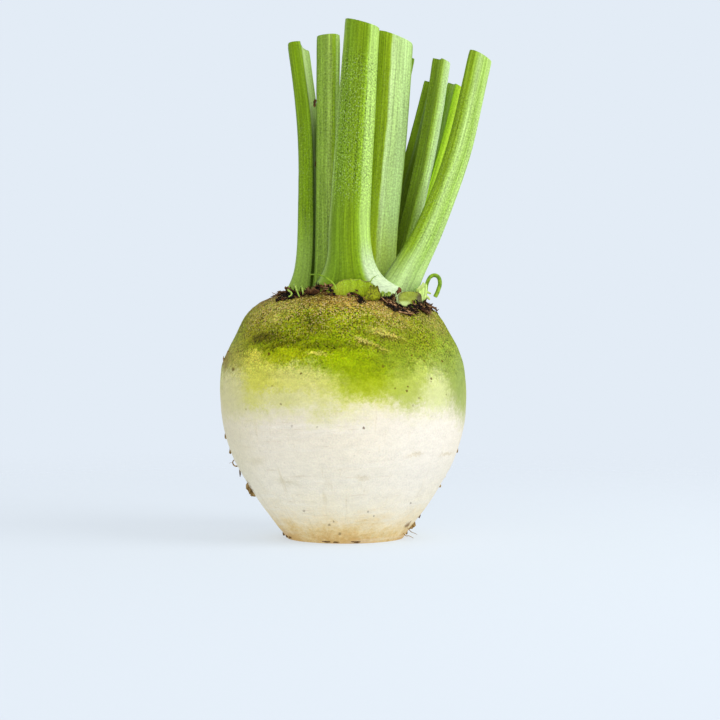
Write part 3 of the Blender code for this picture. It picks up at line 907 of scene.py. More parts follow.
STALKS = {
    "stalk_front": (
        leaf(((4.0, -19.5, 86), (1.9, -20.5, 112), (2.5, -20, 132), (4.3, -18.5, 160), (6.7, -17, 196.3)),
             (35, 16.4, 13.2), (10, 9.0, 8.4), -94, (-0.22, 0.02), 0.022, ribs=24, fins=(2.5, 0), seed=1.0),
        # the pale right flank is paler skin, with painted light from the window on it
        dict(bands=((-9.6, (84, 116, 30)), (-8.8, (150, 180, 92)), (-7.8, (134, 168, 60)),
                    (-6.6, (120, 154, 40)), (-5, (114, 148, 30)), (-2, (119, 151, 24)),
                    (0.5, (117, 147, 14)), (2.4, (122, 155, 16)), (3.8, (144, 182, 40)),
                    (4.8, (176, 212, 106)), (7, (178, 214, 112)), (9, (170, 206, 94)), (12, (140, 176, 50))),
             dew_and_glints=(36, 92, 1.05), foot=(4.2, 0.85, 34), blanch_and_shade=(222, 238, 204), fibre=0.85),
    ),
    "stalk_right": (
        leaf(((16, -9, 86), (22.8, -12.5, 100.5), (32.4, -14.5, 119.5), (43.3, -15, 149),
              (51.6, -14, 184.8)),
             (18.0, 10.8, 9.6), (10, 8.0, 7.4), -52, (-0.2, -0.12), 0.01, 14, ribs=18, seed=2.0),
        dict(bands=((-8.6, (124, 156, 20)), (-7, (146, 178, 44)), (-5.6, (134, 166, 24)),
                    (-4.4, (158, 194, 72)), (-2.8, (184, 216, 128)), (-1.2, (172, 206, 108)),
                    (0.4, (156, 194, 84)), (1.6, (180, 214, 116)), (5.5, (178, 212, 124)),
                    (9, (154, 188, 82))),
             dew_and_glints=(20, 84, 0.4), foot=(-40, 0.3, 34), fibre=0.85),
    ),
    "stalk_left": (
        leaf(((-19.2, -2.5, 86), (-15.4, -2.2, 105), (-14.6, -2, 128), (-15.2, -2, 160), (-19.2, -2, 192)),
             (13, 8.2, 7.4), (12, 8.0, 6.2), 187, (0.05, 0.05), 0.02, ribs=16, seed=3.0),
        # the dark band at the right edge is painted shade in the gap to the stalk behind
        dict(bands=((-8, (120, 154, 30)), (0, (110, 144, 22)), (3, (124, 158, 26)), (6, (118, 152, 12)),
                    (8.5, (134, 168, 40)), (9.6, (66, 92, 8))),
             dew_and_glints=(4, 70, 0.35), foot=(-40, 0.6, 46), blanch_and_shade=(162, 196, 92)),
    ),
    "stalk_left_inner": (
        leaf(((-6.7, -6.5, 86), (-6.6, -6.2, 112), (-6.6, -6, 150), (-6.4, -6, 194)),
             (13.5, 9.2, 9.0), (7.5, 7.0, 6.8), -112, (0.05, 0.05), flare=7, ribs=14, seed=4.0),
        # the dark band at the left edge is painted shade; the light band at 4.9 is a painted highlight along
        # the edge
        dict(bands=((-8, (84, 112, 30)), (-6, (122, 156, 60)), (-3, (134, 168, 60)), (0, (138, 170, 62)),
                    (1.2, (148, 180, 74)), (2.4, (170, 200, 88)), (3.3, (142, 174, 44)),
                    (4.2, (134, 170, 30)), (4.9, (184, 216, 112)), (6.5, (150, 186, 70)),
                    (9, (120, 150, 30))),
             dew_and_glints=(10, 96, 0.4)),
    ),
    "stalk_right_inner": (
        leaf(((11.0, -4.0, 86), (13.0, -4, 117), (15.0, -4, 140), (17.0, -4, 161), (19.1, -4, 193.6)),
             (15, 15.0, 15.2), (10, 9.8, 9.4), -66, (-0.24, 0.02), ribs=20, seed=5.0),
        # the dark band at the right edge is painted shade in the gap
        dict(bands=((-12, (120, 150, 14)), (-7, (140, 172, 30)), (-5, (134, 164, 18)),
                    (-3.2, (142, 172, 26)), (-2.3, (198, 226, 152)), (0, (184, 216, 134)),
                    (3, (184, 216, 140)), (6, (182, 216, 134)), (8.5, (146, 180, 76)),
                    (10.5, (78, 102, 14))),
             dew_and_glints=(10, 90, 0.2), foot=(-40, 0.5, 46), blanch_and_shade=(184, 206, 34), fibre=0.85),
    ),
    "stalk_left_back": (
        leaf(((-12.1, 8.5, 86), (-11.9, 9, 112), (-12.1, 9.5, 140), (-13.1, 9.7, 162), (-17.1, 10, 192.6)),
             (9, 7.6, 7.0), (7, 5.6, 5.2), 152, (0.3, 0.1), ribs=12, seed=6.0),
        dict(bands=((-10, (176, 206, 124)), (-7, (152, 184, 92)), (0, (130, 160, 60)), (6, (150, 184, 90)),
                    (9, (182, 210, 130))),
             # the foot and the lower stalk are painted shade, dark between the stalks
             foot=(-40, 0.92, 92), blanch_and_shade=(66, 90, 4)),
    ),
    "stalk_right_back": (
        leaf(((16.9, 6, 86), (21.4, 5.5, 108), (27.8, 4.5, 133.5), (33.6, 3.5, 161.5), (37.5, 3, 186.6)),
             (9.5, 9.2, 8.8), (8, 7.4, 6.6), 28, (0.1, -0.25), ribs=14, seed=7.0),
        dict(bands=((-13, (150, 184, 56)), (-9.4, (144, 176, 34)), (-8.2, (164, 198, 80)),
                    (-6.8, (188, 220, 136)), (-4, (200, 230, 166)), (4, (160, 194, 90)),
                    (10, (124, 156, 34))),
             # the foot is painted shade, darker between the stalks
             dew_and_glints=(10, 90, 0.3), foot=(-40, 0.6, 62), blanch_and_shade=(100, 126, 10)),
    ),
    "stalk_back_right": (
        leaf(((7.8, 11.5, 86), (13.8, 12, 105), (21.2, 13, 130), (28.6, 14, 156), (34.6, 15, 180)),
             (8.5, 8.0, 7.4), (7, 6.2, 5.6), 42, (0.1, 0.0), ribs=12, seed=8.0),
        dict(bands=((-12, (150, 184, 110)), (-9, (116, 150, 24)), (0, (124, 160, 30)), (6, (130, 164, 40)),
                    (10, (126, 160, 30))),
             # the foot is painted shade, darker between the stalks
             foot=(-40, 0.8, 84), blanch_and_shade=(80, 102, 6)),
    ),
    "stalk_far_right": (
        leaf(((17.5, 17.5, 86), (23, 17, 107), (32, 16.5, 136), (38.9, 15.5, 160), (43.8, 15, 179)),
             (10.5, 9.6, 9.0), (8, 7.2, 6.6), 24, (0.1, -0.2), ribs=14, seed=9.0),
        # painted light: the left bands are lighter, against the shade between the stalks
        dict(bands=((-13, (170, 206, 90)), (-10, (160, 198, 72)), (-8.4, (160, 204, 36)),
                    (-6, (172, 210, 54)), (0, (188, 220, 80)), (10, (150, 188, 60)), (13, (170, 206, 90)))),
    ),
    "stalk_back": (
        leaf(((-1.5, 15.5, 86), (4.0, 17, 110), (13.5, 19, 148), (23.4, 21, 191.5)),
             (11, 9.8, 9.2), (8, 7.0, 6.6), 98, (0, 0), ribs=14, seed=10.0),
        dict(bands=((-9, (104, 138, 24)), (0, (140, 172, 60)), (4, (150, 182, 80)), (9, (110, 146, 30)))),
    ),
}
CUT_PITH, CUT_RIND = (186, 212, 110), (120, 160, 40)
standing = []
for node, (shape, look) in STALKS.items():
    stalk = leaf_base(node.replace("stalk", "petiole"), shape)
    for finish in leaf_finishes(node, shape, look, CUT_PITH, CUT_RIND):
        stalk.data.materials.append(finish)
    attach(stalk, "root")
    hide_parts(node)
    standing.append(stalk)

# ---- The stubs ----
# Bases of older leaves that were cut off close to the crown: short, thick, wet at the cut and browning
# at its rim. They hug the feet of the leaves that stand inside them.

STUBS = {
    "stub_front": (
        leaf(((2.6, -20, 88), (2.8, -26.5, 94.5), (2.9, -27.4, 99.4)), (20, 18.5, 16.5), (6, 4.0, 0.8), -90,
             (0.06, -0.1), 0.02, ribs=12, seed=11.0, channel=0.5, torn=(3.2, 0.9)),
        dict(bands=((-10, (168, 166, 56)), (-6, (164, 182, 52)), (-3, (152, 180, 38)), (2, (142, 172, 22)),
                    (8, (136, 160, 16))),
             dew_and_glints=(2, 20, 0.4), foot=(-40, 0.85, 21), blanch_and_shade=(190, 200, 46), fibre=0.5),
    ),
    "stub_right": (
        leaf(((17.2, -11.2, 88.2), (21.0, -18.2, 90.6), (24.7, -25.2, 92.0)), (11, 10.8, 10.6),
             (7, 6.6, 6.2), -62, ribs=14, seed=12.0, channel=0.12, torn=(0.4, 0.5)),
        # painted light: the left bands are lighter, against the shade on the side that faces down
        dict(bands=((-7, (206, 230, 160)), (-3, (196, 222, 140)), (2, (150, 176, 60)), (6, (100, 84, 44))),
             fibre=0.4),
    ),
    "stub_pale": (
        leaf(((24.5, -12.5, 86), (28.4, -15.6, 93), (29.4, -16.6, 98)), (8, 6.5, 5.5), (4.5, 3.4, 2.4), -32,
             (0.3, -0.3), ribs=10, seed=13.0, torn=(1.6, 0.9)),
        dict(bands=((-5, (176, 208, 96)), (0, (198, 224, 130)), (5, (160, 196, 70)))),
    ),
    "stub_left_back": (
        leaf(((-15, 15, 84), (-18.5, 18.5, 92), (-20, 20.2, 98)), (13, 10.5, 9), (7, 5.4, 4.4), 132,
             (0.2, -0.4), 0.02, ribs=14, seed=14.0, torn=(1.4, 0.8)),
        dict(bands=((-7, (130, 160, 40)), (0, (150, 180, 56)), (7, (120, 150, 36)))),
    ),
    "stub_back": (
        leaf(((9, 21, 84), (9.6, 25, 93), (9.8, 26.5, 99)), (15, 12.5, 11), (7, 5.6, 4.6), 84, (-0.2, -0.4),
             0.02, ribs=16, seed=15.0, torn=(1.6, 0.8)),
        dict(bands=((-8, (140, 166, 40)), (0, (160, 186, 56)), (8, (130, 156, 36)))),
    ),
}
STUB_ENDS = {  # pith, rind, how wide the rind is, and rotted marks: centre, reach and colour
    "stub_right": ((150, 166, 30), (78, 60, 20), 0.2, (((3.8, -0.2), (1.1, 1.5), (66, 50, 26)),
                                                       ((-2.6, 1.9), (2.2, 0.9), (192, 214, 130)))),
    "stub_pale": ((206, 228, 140), (170, 200, 90), 0.3),
}
PLAIN_STUB_END = ((172, 198, 60), (120, 110, 40), 0.35)
STUB_RINGS = 40
for node, (shape, look) in STUBS.items():
    stub = leaf_base(f"cut_{node}", shape, STUB_RINGS)
    for finish in leaf_finishes(node, shape, look, *STUB_ENDS.get(node, PLAIN_STUB_END)):
        stub.data.materials.append(finish)
    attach(stub, "root")
    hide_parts(node)
    standing.append(stub)

# ---- The dry scales ----
# What is left of the outermost dead leaves: thin, brown, brittle flaps round the crown, torn at their
# free ends, cupped as they dried, still fast to the shoulder at their root ends.

SCALES = {  # azimuth, seat radius, width, length, curl, turn aside
    "dry_scale_left": (204, 23.2, 7.5, 4.6, 1.2, 6),
    "dry_scale_left_front": (221, 25.2, 6.0, 4.0, 3.2, -10),
    "dry_scale_front_left": (245, 27.2, 5.4, 3.2, 3.4, 10),
    "dry_scale_front_right": (-71, 31.2, 6.0, 2.6, 8.4, 4),
    "dry_scale_right_front": (-31, 34.6, 4.8, 3.2, 1.6, -6),
    "dry_scale_right": (-6, 30.6, 8.5, 5.5, 1.0, 0),
    "dry_scale_right_back": (20, 29.6, 8.5, 6.0, 1.6, 9),
    "dry_scale_back_right": (50, 30.6, 7.5, 5.5, 1.5, -8),
    "dry_scale_back": (108, 27.5, 9.0, 6.5, 1.7, 12),
    "dry_scale_left_back": (160, 24.5, 8.0, 5.0, 1.3, -10),
}
SCALE_WIDTHS = ((0, 0, 0.78), (0.25, 0, 0.96), (0.5, 0, 1.0), (0.75, 0, 0.86), (1.0, 0, 0.46))  # seat to tip
SCALE_THICKNESS = 0.45 * MM
LEAST_LIFT = 0.1  # what keeps a scale off the skin, in millimetres
STRONG_CURL = 5  # a scale that curls more than this is torn less
DOWN = Vector((0, 0, -1))

scale_finish, tree, shader = new_finish("dry_leaf_scale", specular_ior_level=0.25)
place, leaf_map = place_on(tree), map_on(tree)
veins = grain(leaf_map * (26.0, 2.0, 1.0), 1.0, 4.0, 0.6)
colour = blended(eased(veins, 0.35, 0.65), tint(50, 28, 18), tint(112, 70, 40))
colour = blended(eased(grain(place, 0.5, 3.0), 0.55, 0.7), colour, tint(34, 20, 16))
colour = blended(eased(parted(leaf_map)[1], 0.75, 1.0, 0.0, 0.45), colour, tint(160, 122, 78))
coat(shader, colour, veins, 0.3, rough=0.5 + veins * 0.4)

# One flap by the front is only half dead: olive and yellow between brown veins, with a brown torn rim.
half_green, tree, shader = new_finish("half_dead_leaf", roughness=0.6, specular_ior_level=0.2)
place, leaf_map = place_on(tree), map_on(tree)
patched = grain(place, 0.8, 3.0, 0.7)
colour = blended(eased(patched, 0.40, 0.60), tint(104, 112, 10), tint(162, 170, 24))
colour = blended(eased(grain(place, 1.3, 3.0, 0.7), 0.54, 0.62, 0.0, 0.8), colour, tint(74, 50, 20))
rim = maths("MAXIMUM", *parted(leaf_map)[:2]) + (patched - 0.5) * 0.8
colour = blended(eased(rim, 0.93, 1.02, 0.0, 0.85), colour, tint(84, 52, 26))
coat(shader, colour, patched, 0.3)


def skin_under(spot):
    """The place on the shoulder below or above a spot, and its normal."""
    return shoulder_skin.ray_cast(Vector((spot.x, spot.y, 2 * ROOT_HEIGHT)), DOWN)[:2]


widths = [point.z for point in smooth_through(SCALE_WIDTHS, 4)]
for number, (node, (azimuth, seat, width, length, curl, turn)) in enumerate(SCALES.items()):
    nothing_selected()
    bpy.ops.mesh.primitive_grid_add(x_subdivisions=30, y_subdivisions=26, size=1)
    scale = bpy.context.object
    scale.name = node.replace("dry_scale", "torn_scale")
    start = heading(azimuth) * seat * MM
    ahead = heading(azimuth + turn)
    aside = Vector((-ahead.y, ahead.x, 0))
    for vertex in scale.data.vertices:
        across, share = vertex.co.x * 2, vertex.co.y + 0.5
        torn = 0.22 * noise.noise(Vector((across * 3.1, number * 5.3, 0)))
        torn += 0.14 * noise.noise(Vector((across * 9.0, number * 2.7, 4)))
        run = share * (0.9 + torn * (1.0 if curl < STRONG_CURL else 0.45))
        spread = widths[min(len(widths) - 1, round(share * (len(widths) - 1)))]
        flat = start + ahead * length * MM * run + aside * across * spread * width / 2 * MM
        ruffle = 0.5 * share * noise.noise(Vector((across * 2.2, share * 1.6, number * 3.1)))
        lift = 0.35 + curl * run**2 + min(curl, 2.0) * 0.25 * across**2 + ruffle
        vertex.co = skin_under(flat)[0] + Vector((0, 0, max(LEAST_LIFT, lift) * MM))
    bpy.ops.object.modifier_add(type="SOLIDIFY")
    scale.modifiers[-1].thickness = SCALE_THICKNESS
    scale.modifiers[-1].offset = 0.0
    bpy.ops.object.modifier_apply(modifier=scale.modifiers[-1].name)
    bpy.ops.object.shade_smooth()
    scale.data.materials.append(half_green if node == "dry_scale_front_right" else scale_finish)
    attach(scale, "root")
    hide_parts(node)

# ---- The curled leaf stalk ----
# A thin withered leaf stalk that lost its blade, dried into a hook, and still grows from the crown. Beside
# it and along the crown's front a few loose strands, two pale leaf tips and slivers of torn leaf skin.


def thread(name, route, thickness, taper, finish):
    """A thin round stalk or root along a route, in millimetres, made a mesh."""
    nothing_selected()
    bpy.ops.curve.primitive_bezier_curve_add(location=(0, 0, 0))
    line = bpy.context.object
    line.name = name
    bpy.ops.object.mode_set(mode="EDIT")
    bpy.ops.curve.select_all(action="SELECT")
    bpy.ops.curve.subdivide(number_cuts=len(route) - 2)
    bpy.ops.object.mode_set(mode="OBJECT")
    knots = line.data.splines[0].bezier_points
    for step, (knot, place) in enumerate(zip(knots, route)):
        knot.co = Vector(place) * MM
        knot.radius = taper[0] + (taper[1] - taper[0]) * (step / (len(route) - 1))
    for knot in knots:
        knot.handle_left_type = "AUTO"
        knot.handle_right_type = "AUTO"
    line.data.bevel_depth = thickness / 2 * MM
    line.data.bevel_resolution = 4
    line.data.resolution_u = 12
    line.data.use_fill_caps = True
    bpy.ops.object.convert(target="MESH")
    bpy.ops.object.mode_set(mode="EDIT")
    bpy.ops.mesh.select_all(action="SELECT")
    bpy.ops.mesh.remove_doubles(threshold=0.001 * MM)
    bpy.ops.mesh.normals_make_consistent(inside=False)
    bpy.ops.object.mode_set(mode="OBJECT")
    bpy.ops.object.shade_smooth_by_angle(angle=math.radians(60))
    made = bpy.context.object
    made.data.materials.append(finish)
    return made


def thread_skin(name, dark, light):
    material, tree, shader = new_finish(name, roughness=0.45, specular_ior_level=0.3)
    place = place_on(tree)
    colour = blended(eased(grain(place, 0.7, 3.0), 0.35, 0.65), tint(*dark), tint(*light))
    coat(shader, colour, grain(place, 2.5, 3.0), 0.15, 0.6)
    return material


CURL_ROUTE = (
    (30.5, -10.6, 91.2), (31.0, -10.5, 95.4), (31.7, -10.4, 99.0), (33.3, -10.4, 101.2),
    (35.3, -10.3, 101.2), (36.4, -10.3, 99.2), (35.7, -10.4, 95.6), (34.6, -10.6, 93.2),
)
withered = thread_skin("withered_green", (104, 142, 14), (148, 182, 40))
pale_leaf = thread_skin("young_leaf_pale", (170, 196, 80), (212, 228, 140))
torn_leaf = thread_skin("torn_leaf_lime", (132, 168, 34), (182, 212, 92))
curl = thread("curled_hook", CURL_ROUTE, 1.5, (0.9, 1.1), withered)
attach(curl, "root")
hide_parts("curled_leaf_stalk")

STRANDS = {  # route, thickness, taper, finish
    "loose_strand": (
        ((-12.6, -25.5, 100.9), (-9.6, -28, 100.7), (-6.4, -29.8, 99.2), (-3.8, -30.6, 96.9),
         (-3.1, -30.6, 95.2)), 0.7, (0.7, 1.0), withered),
    "hook_strand": (
        ((29.0, -12.6, 91.8), (29.9, -12.0, 95.2), (31.2, -11.2, 98.4), (33.0, -10.7, 100.4)),
        0.8, (1.1, 0.5), withered),
    "pale_sprig_high": (
        ((28.8, -14.5, 93.4), (30.6, -14.0, 94.9), (32.8, -13.6, 94.3)), 1.5, (1.3, 0.4), pale_leaf),
    "pale_sprig_low": (
        ((29.0, -15.0, 92.4), (30.8, -14.8, 93.2), (32.4, -14.6, 92.0)), 1.3, (1.3, 0.5), pale_leaf),
    "green_sliver_left": (
        ((-20.4, -12.5, 95.4), (-21.0, -16.4, 96.8), (-21.3, -19.6, 95.5), (-19.9, -23.8, 93.4),
         (-20.9, -24.2, 92.6)), 0.8, (1.3, 0.6), torn_leaf),
    "green_sliver_middle": (
        ((-18.6, -12.4, 95.6), (-18.9, -16.4, 97.4), (-18.1, -21.0, 95.5), (-16.8, -26.0, 92.6)),
        1.1, (1.4, 0.4), torn_leaf),
    "green_sliver_right": (
        ((-16.5, -13.4, 95.4), (-16.3, -16.4, 96.6), (-15.8, -20.5, 95.0), (-15.5, -24.2, 93.6)),
        1.0, (1.5, 0.4), torn_leaf),
    "flap_twig": (
        ((9.6, -30.4, 98.0), (10.6, -30.8, 99.4), (12.0, -31.2, 100.2)), 0.4, (1.2, 0.5), withered),
}
for name, made_from in STRANDS.items():
    strand = thread(name, *made_from)
    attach(strand, "root")

# ---- The litter of the crown ----
# Where the outer leaves rotted off, split dead fibres, curled shreds of leaf skin and crumbs of dry soil
# are left in the fold round the crown. They lie loose on the shoulder or hang on by one end.

LITTER_RING = (  # azimuth, and how far from the middle the litter lies, in millimetres
    (-15, 34.5), (15, 33.2), (45, 32.8), (75, 31.5), (105, 31), (135, 28.5), (160, 26.5), (180, 26),
    (210, 26), (240, 28),
)
RING_START, RING_SWEEP, RING_PIECES = -10, 248, 210
RING_LONGEST, RING_STAND = 3.8, 1.4  # the longest shred of the ring, and how far its shreds stand up
SHRED_THICKNESS = 0.16
SHRED_REST = 0.12  # how high a shred lies on the skin
SHRED_WIDTHS = (0.35, 1.2)
CRUMB_SIZES = (0.22, 0.8)
chance = random.Random(12)


def ring_radius(azimuth):
    for (low, near), (high, far) in zip(LITTER_RING, LITTER_RING[1:]):
        if low <= azimuth <= high:
            return near + (far - near) * (azimuth - low) / (high - low)


def front_of(pieces):
    """All that faces the front of some pieces, to lay things on."""
    corners, faces = [], []
    for piece in pieces:
        start = len(corners)
        corners += [vertex.co.copy() for vertex in piece.data.vertices]
        faces += [[start + number for number in face.vertices] for face in piece.data.polygons]
    return BVHTree.FromPolygons(corners, faces)


crown = front_of([root, *standing])


def crown_facing(aside, height):
    """The foremost place at a distance aside and a height, and its normal."""
    return crown.ray_cast(Vector((aside * MM, -0.2, height * MM)), Vector((0, 1, 0)))[:2]


def copy_of(stock):
    """A copy of a shape with its own mesh."""
    copy = stock.copy()
    copy.data = stock.data.copy()
    bpy.context.scene.collection.objects.link(copy)
    return copy


def lay_shred(place, normal, ahead, length, width, lift, bend):
    """A shred laid on the skin, tapering, its far end lifted and bent aside."""
    copy = copy_of(shreds)
    ahead = (ahead - normal * ahead.dot(normal)).normalized()
    across = normal.cross(ahead)
    for vertex in copy.data.vertices:
        share = vertex.co.z + 0.5
        taper = (1 - 0.75 * share**1.5) * (0.55 + 0.45 * min(1.0, share * 6))
        x = vertex.co.x * width / 2 * taper + bend * share**2
        y = vertex.co.y * SHRED_THICKNESS * taper + SHRED_REST
        y += lift * share**2 + 0.25 * width * vertex.co.x**2
        vertex.co = place + (ahead * length * share + across * x + normal * y) * MM
    return copy


def crumb(place, size, seed):
    """A ball dented into a crumb. Sizes are half widths in millimetres."""
    copy = copy_of(crumbs)
    turn = Matrix.Rotation(seed * 2.3, 3, Vector((0.3, 0.5, 0.8)).normalized())
    for vertex in copy.data.vertices:
        swell = 1 + 0.75 * noise.noise(vertex.co * 1.4 + Vector((seed, 0, 0)))
        swell += 0.3 * noise.noise(vertex.co * 3.1 + Vector((0, seed, 0)))
        point = turn @ (vertex.co * swell)
        vertex.co = place + Vector([c * h for c, h in zip(point, size)]) * MM
    return copy


def gather(name, pieces, finish):
    """Joins loose copies into one piece."""
    nothing_selected()
    for piece in pieces:
        piece.select_set(True)
    bpy.context.view_layer.objects.active = pieces[0]
    bpy.ops.object.join()
    whole = bpy.context.object
    whole.name = name
    bpy.ops.object.shade_smooth_by_angle(angle=math.radians(60))
    whole.data.materials.append(finish)
    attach(whole, "root")


def litter_finish(name, dark, light, rough=0.8):
    material, tree, shader = new_finish(name, roughness=rough, specular_ior_level=0.2)
    place = place_on(tree)
    colour = blended(eased(grain(place, 0.9, 3.0, 0.7), 0.38, 0.62), tint(*dark), tint(*light))
    coat(shader, colour, grain(place, 2.4, 3.0, 0.7), 0.2)
    return material


# Heaps: place aside and height, spread along and across, slant and how wildly it varies in degrees, how many
# dark, brown and straw shreds and crumbs of soil, the longest shred, and how far the shreds stand up.
HEAPS = (
    (-21.2, 92.4, 2.6, 0.8, 10, 60, (28, 4, 3, 46), 2.8, 1.6),
    (-22.4, 93.2, 0.9, 0.6, 60, 50, (10, 1, 1, 10), 2.4, 2.0),
    (-24.8, 91.5, 1.6, 0.5, 14, 40, (3, 4, 1, 5), 1.8, 0.6),
    (-17.4, 92.9, 1.0, 0.8, 0, 60, (5, 6, 2, 6), 2.4, 1.2),
    (-12.2, 94.3, 1.5, 1.1, 0, 60, (14, 22, 1, 10), 2.8, 2.2),
    (-10.0, 95.6, 1.1, 0.9, 40, 50, (6, 14, 2, 6), 2.6, 1.6),
    (-6.8, 97.0, 2.6, 0.3, -3, 10, (2, 5, 9, 0), 3.6, 0.6),
    (-7.0, 95.4, 2.2, 0.9, 0, 50, (6, 7, 3, 6), 2.4, 0.8),
    (-5.0, 93.2, 1.8, 0.5, 0, 40, (2, 5, 2, 3), 1.8, 0.6),
    (2.6, 93.7, 1.4, 0.3, 18, 20, (2, 10, 2, 1), 2.2, 0.8),
    (4.8, 93.2, 0.9, 0.3, -40, 20, (2, 8, 1, 1), 2.0, 0.8),
    (6.0, 91.2, 0.9, 0.7, -20, 50, (5, 5, 1, 8), 1.8, 0.5),
    (12.4, 92.6, 1.0, 0.9, -30, 40, (6, 6, 1, 6), 2.2, 0.9),
    (16.2, 91.9, 2.4, 0.5, 0, 30, (8, 5, 1, 14), 2.4, 0.5),
    (14.2, 91.0, 1.6, 0.6, -28, 18, (6, 4, 3, 4), 3.0, 0.5),
    (18.9, 88.7, 3.9, 1.4, -28, 15, (26, 22, 34, 12), 4.2, 0.8),
    (22.6, 86.8, 1.8, 0.7, -30, 15, (16, 6, 6, 4), 3.0, 0.6),
    (20.0, 89.8, 2.0, 0.5, -10, 30, (6, 3, 2, 4), 2.2, 0.6),
    (18.8, 92.4, 0.8, 0.6, -40, 40, (6, 4, 2, 4), 2.0, 0.7),
    (31.4, 89.2, 1.3, 0.9, -40, 30, (8, 8, 6, 6), 2.4, 0.8),
    (24.8, 88.0, 1.6, 0.9, -30, 22, (14, 8, 10, 6), 2.8, 0.7),
    (26.8, 89.2, 1.5, 0.9, -30, 30, (10, 5, 4, 8), 2.6, 0.8),
    (29.2, 88.9, 2.0, 0.8, -36, 24, (14, 12, 10, 5), 2.8, 1.1),
    (31.0, 87.7, 0.9, 0.5, -50, 20, (2, 5, 7, 2), 2.0, 0.8),
    (30.2, 91.0, 0.5, 0.6, 70, 12, (1, 3, 1, 1), 2.6, 0.6),
)
DARK, BROWN, STRAW, SOIL = range(4)
piles = ([], [], [], [])
shreds = ringed_rod(6, 5)
bpy.ops.object.mode_set(mode="OBJECT")
nothing_selected()
bpy.ops.mesh.primitive_ico_sphere_add(subdivisions=2, radius=1, location=(0, 0, 0))
crumbs = bpy.context.object


def drop(kind, place, normal, ahead, longest, stand):
    """Drops one shred, or one crumb of soil, with a size and a bend of its own, on its pile."""
    if kind == SOIL:
        size = chance.uniform(*CRUMB_SIZES)
        seat = place + normal * size * 0.4 * MM
        piles[kind].append(crumb(seat, (size, size, size * 0.8), chance.uniform(0, 90)))
    else:
        length = chance.uniform(0.3, 1.0) * longest
        width, lift = chance.uniform(*SHRED_WIDTHS), chance.uniform(-0.1, 1.0) * stand
        piles[kind].append(lay_shred(place, normal, ahead, length, width, lift, chance.gauss(0, 0.5)))


for aside, height, along_it, across_it, slant, wild, counts, longest, stand in HEAPS:
    tilt = math.radians(slant)
    for kind, count in enumerate(counts):
        for _ in range(count):
            u, v = chance.gauss(0, 0.5) * along_it, chance.gauss(0, 0.5) * across_it
            x = aside + u * math.cos(tilt) - v * math.sin(tilt)
            place, normal = crown_facing(x, height + u * math.sin(tilt) + v * math.cos(tilt))
            way = tilt + math.radians(chance.gauss(0, wild)) + math.pi * chance.choice((0, 1))
            if place:
                drop(kind, place, normal, Vector((math.cos(way), 0, math.sin(way))), longest, stand)
for step in range(RING_PIECES):
    azimuth = RING_START + RING_SWEEP * (step + chance.random()) / RING_PIECES
    radius = ring_radius(azimuth) + chance.gauss(-0.4, 1.0)
    place, normal = skin_under(heading(azimuth) * radius * MM)
    way = azimuth + chance.gauss(90, 30) + 180 * chance.choice((0, 1))
    kind = chance.choice((DARK, DARK, BROWN, STRAW, SOIL, SOIL))
    drop(kind, place, normal, heading(way), RING_LONGEST, RING_STAND)
# Lone dry knobs: by the right stub, and caught between the left stalks. Place and half sizes.
KNOBS = (
    ((20.3, -25.2, 94.0), (1.0, 0.8, 1.9)),
    ((-11.7, -4.6, 168.6), (0.6, 0.6, 1.3)),
    ((-11.4, -4.4, 145.0), (0.35, 0.4, 0.8)),
    ((13.6, -8.0, 193.6), (0.5, 0.4, 0.25)),
    ((15.6, -8.2, 193.0), (0.35, 0.4, 0.25)),
)
KNOB_SEED = 5.0
for place, size in KNOBS:
    piles[BROWN].append(crumb(Vector(place) * MM, size, KNOB_SEED))

# Green teeth of torn leaf skin that hang from the stalks' feet over the litter: place aside and height,
# length, width, how far the tip stands out, bend.
TEETH = (
    (13.3, 94.3, 2.2, 1.4, 0.6, 0.1),
    (14.4, 94.7, 2.9, 1.7, 0.7, 0.3),
    (15.6, 94.2, 2.2, 1.0, 0.6, -0.1),
    (16.7, 94.6, 3.0, 2.0, 0.8, 0.2),
    (18.1, 94.0, 2.0, 1.2, 0.6, 0.0),
    (19.2, 93.8, 2.2, 1.6, 0.6, -0.3),
)
TEETH_OFF = 0.1 * MM  # how far they hang off the skin
teeth = []
for aside, height, *form in TEETH:
    place, normal = crown_facing(aside, height)
    teeth.append(lay_shred(place + normal * TEETH_OFF, normal, Vector((0, -1, -1)), *form))
bpy.data.objects.remove(shreds)

dead = litter_finish("dead_leaf_dark", (11, 7, 6), (38, 23, 17))
brown = litter_finish("dead_leaf_brown", (66, 38, 22), (122, 78, 46))
straw = litter_finish("split_fibre_straw", (134, 96, 62), (202, 162, 116))
soil = litter_finish("dry_soil", (12, 9, 8), (42, 30, 22), 0.95)
gather("shreds_dark", piles[DARK], dead)
gather("shreds_brown", piles[BROWN], brown)
gather("fibres_straw", piles[STRAW], straw)
gather("crown_soil", piles[SOIL], soil)
torn_green = litter_finish("torn_leaf_green", (116, 146, 26), (172, 200, 84), 0.6)
gather("leaf_teeth", teeth, torn_green)

# ---- Rootlets and side nubs ----
# Broken ends of the fine side roots: a few corky nubs and flakes on the skin, one curled rootlet, and
# hairs no thicker than a thread.

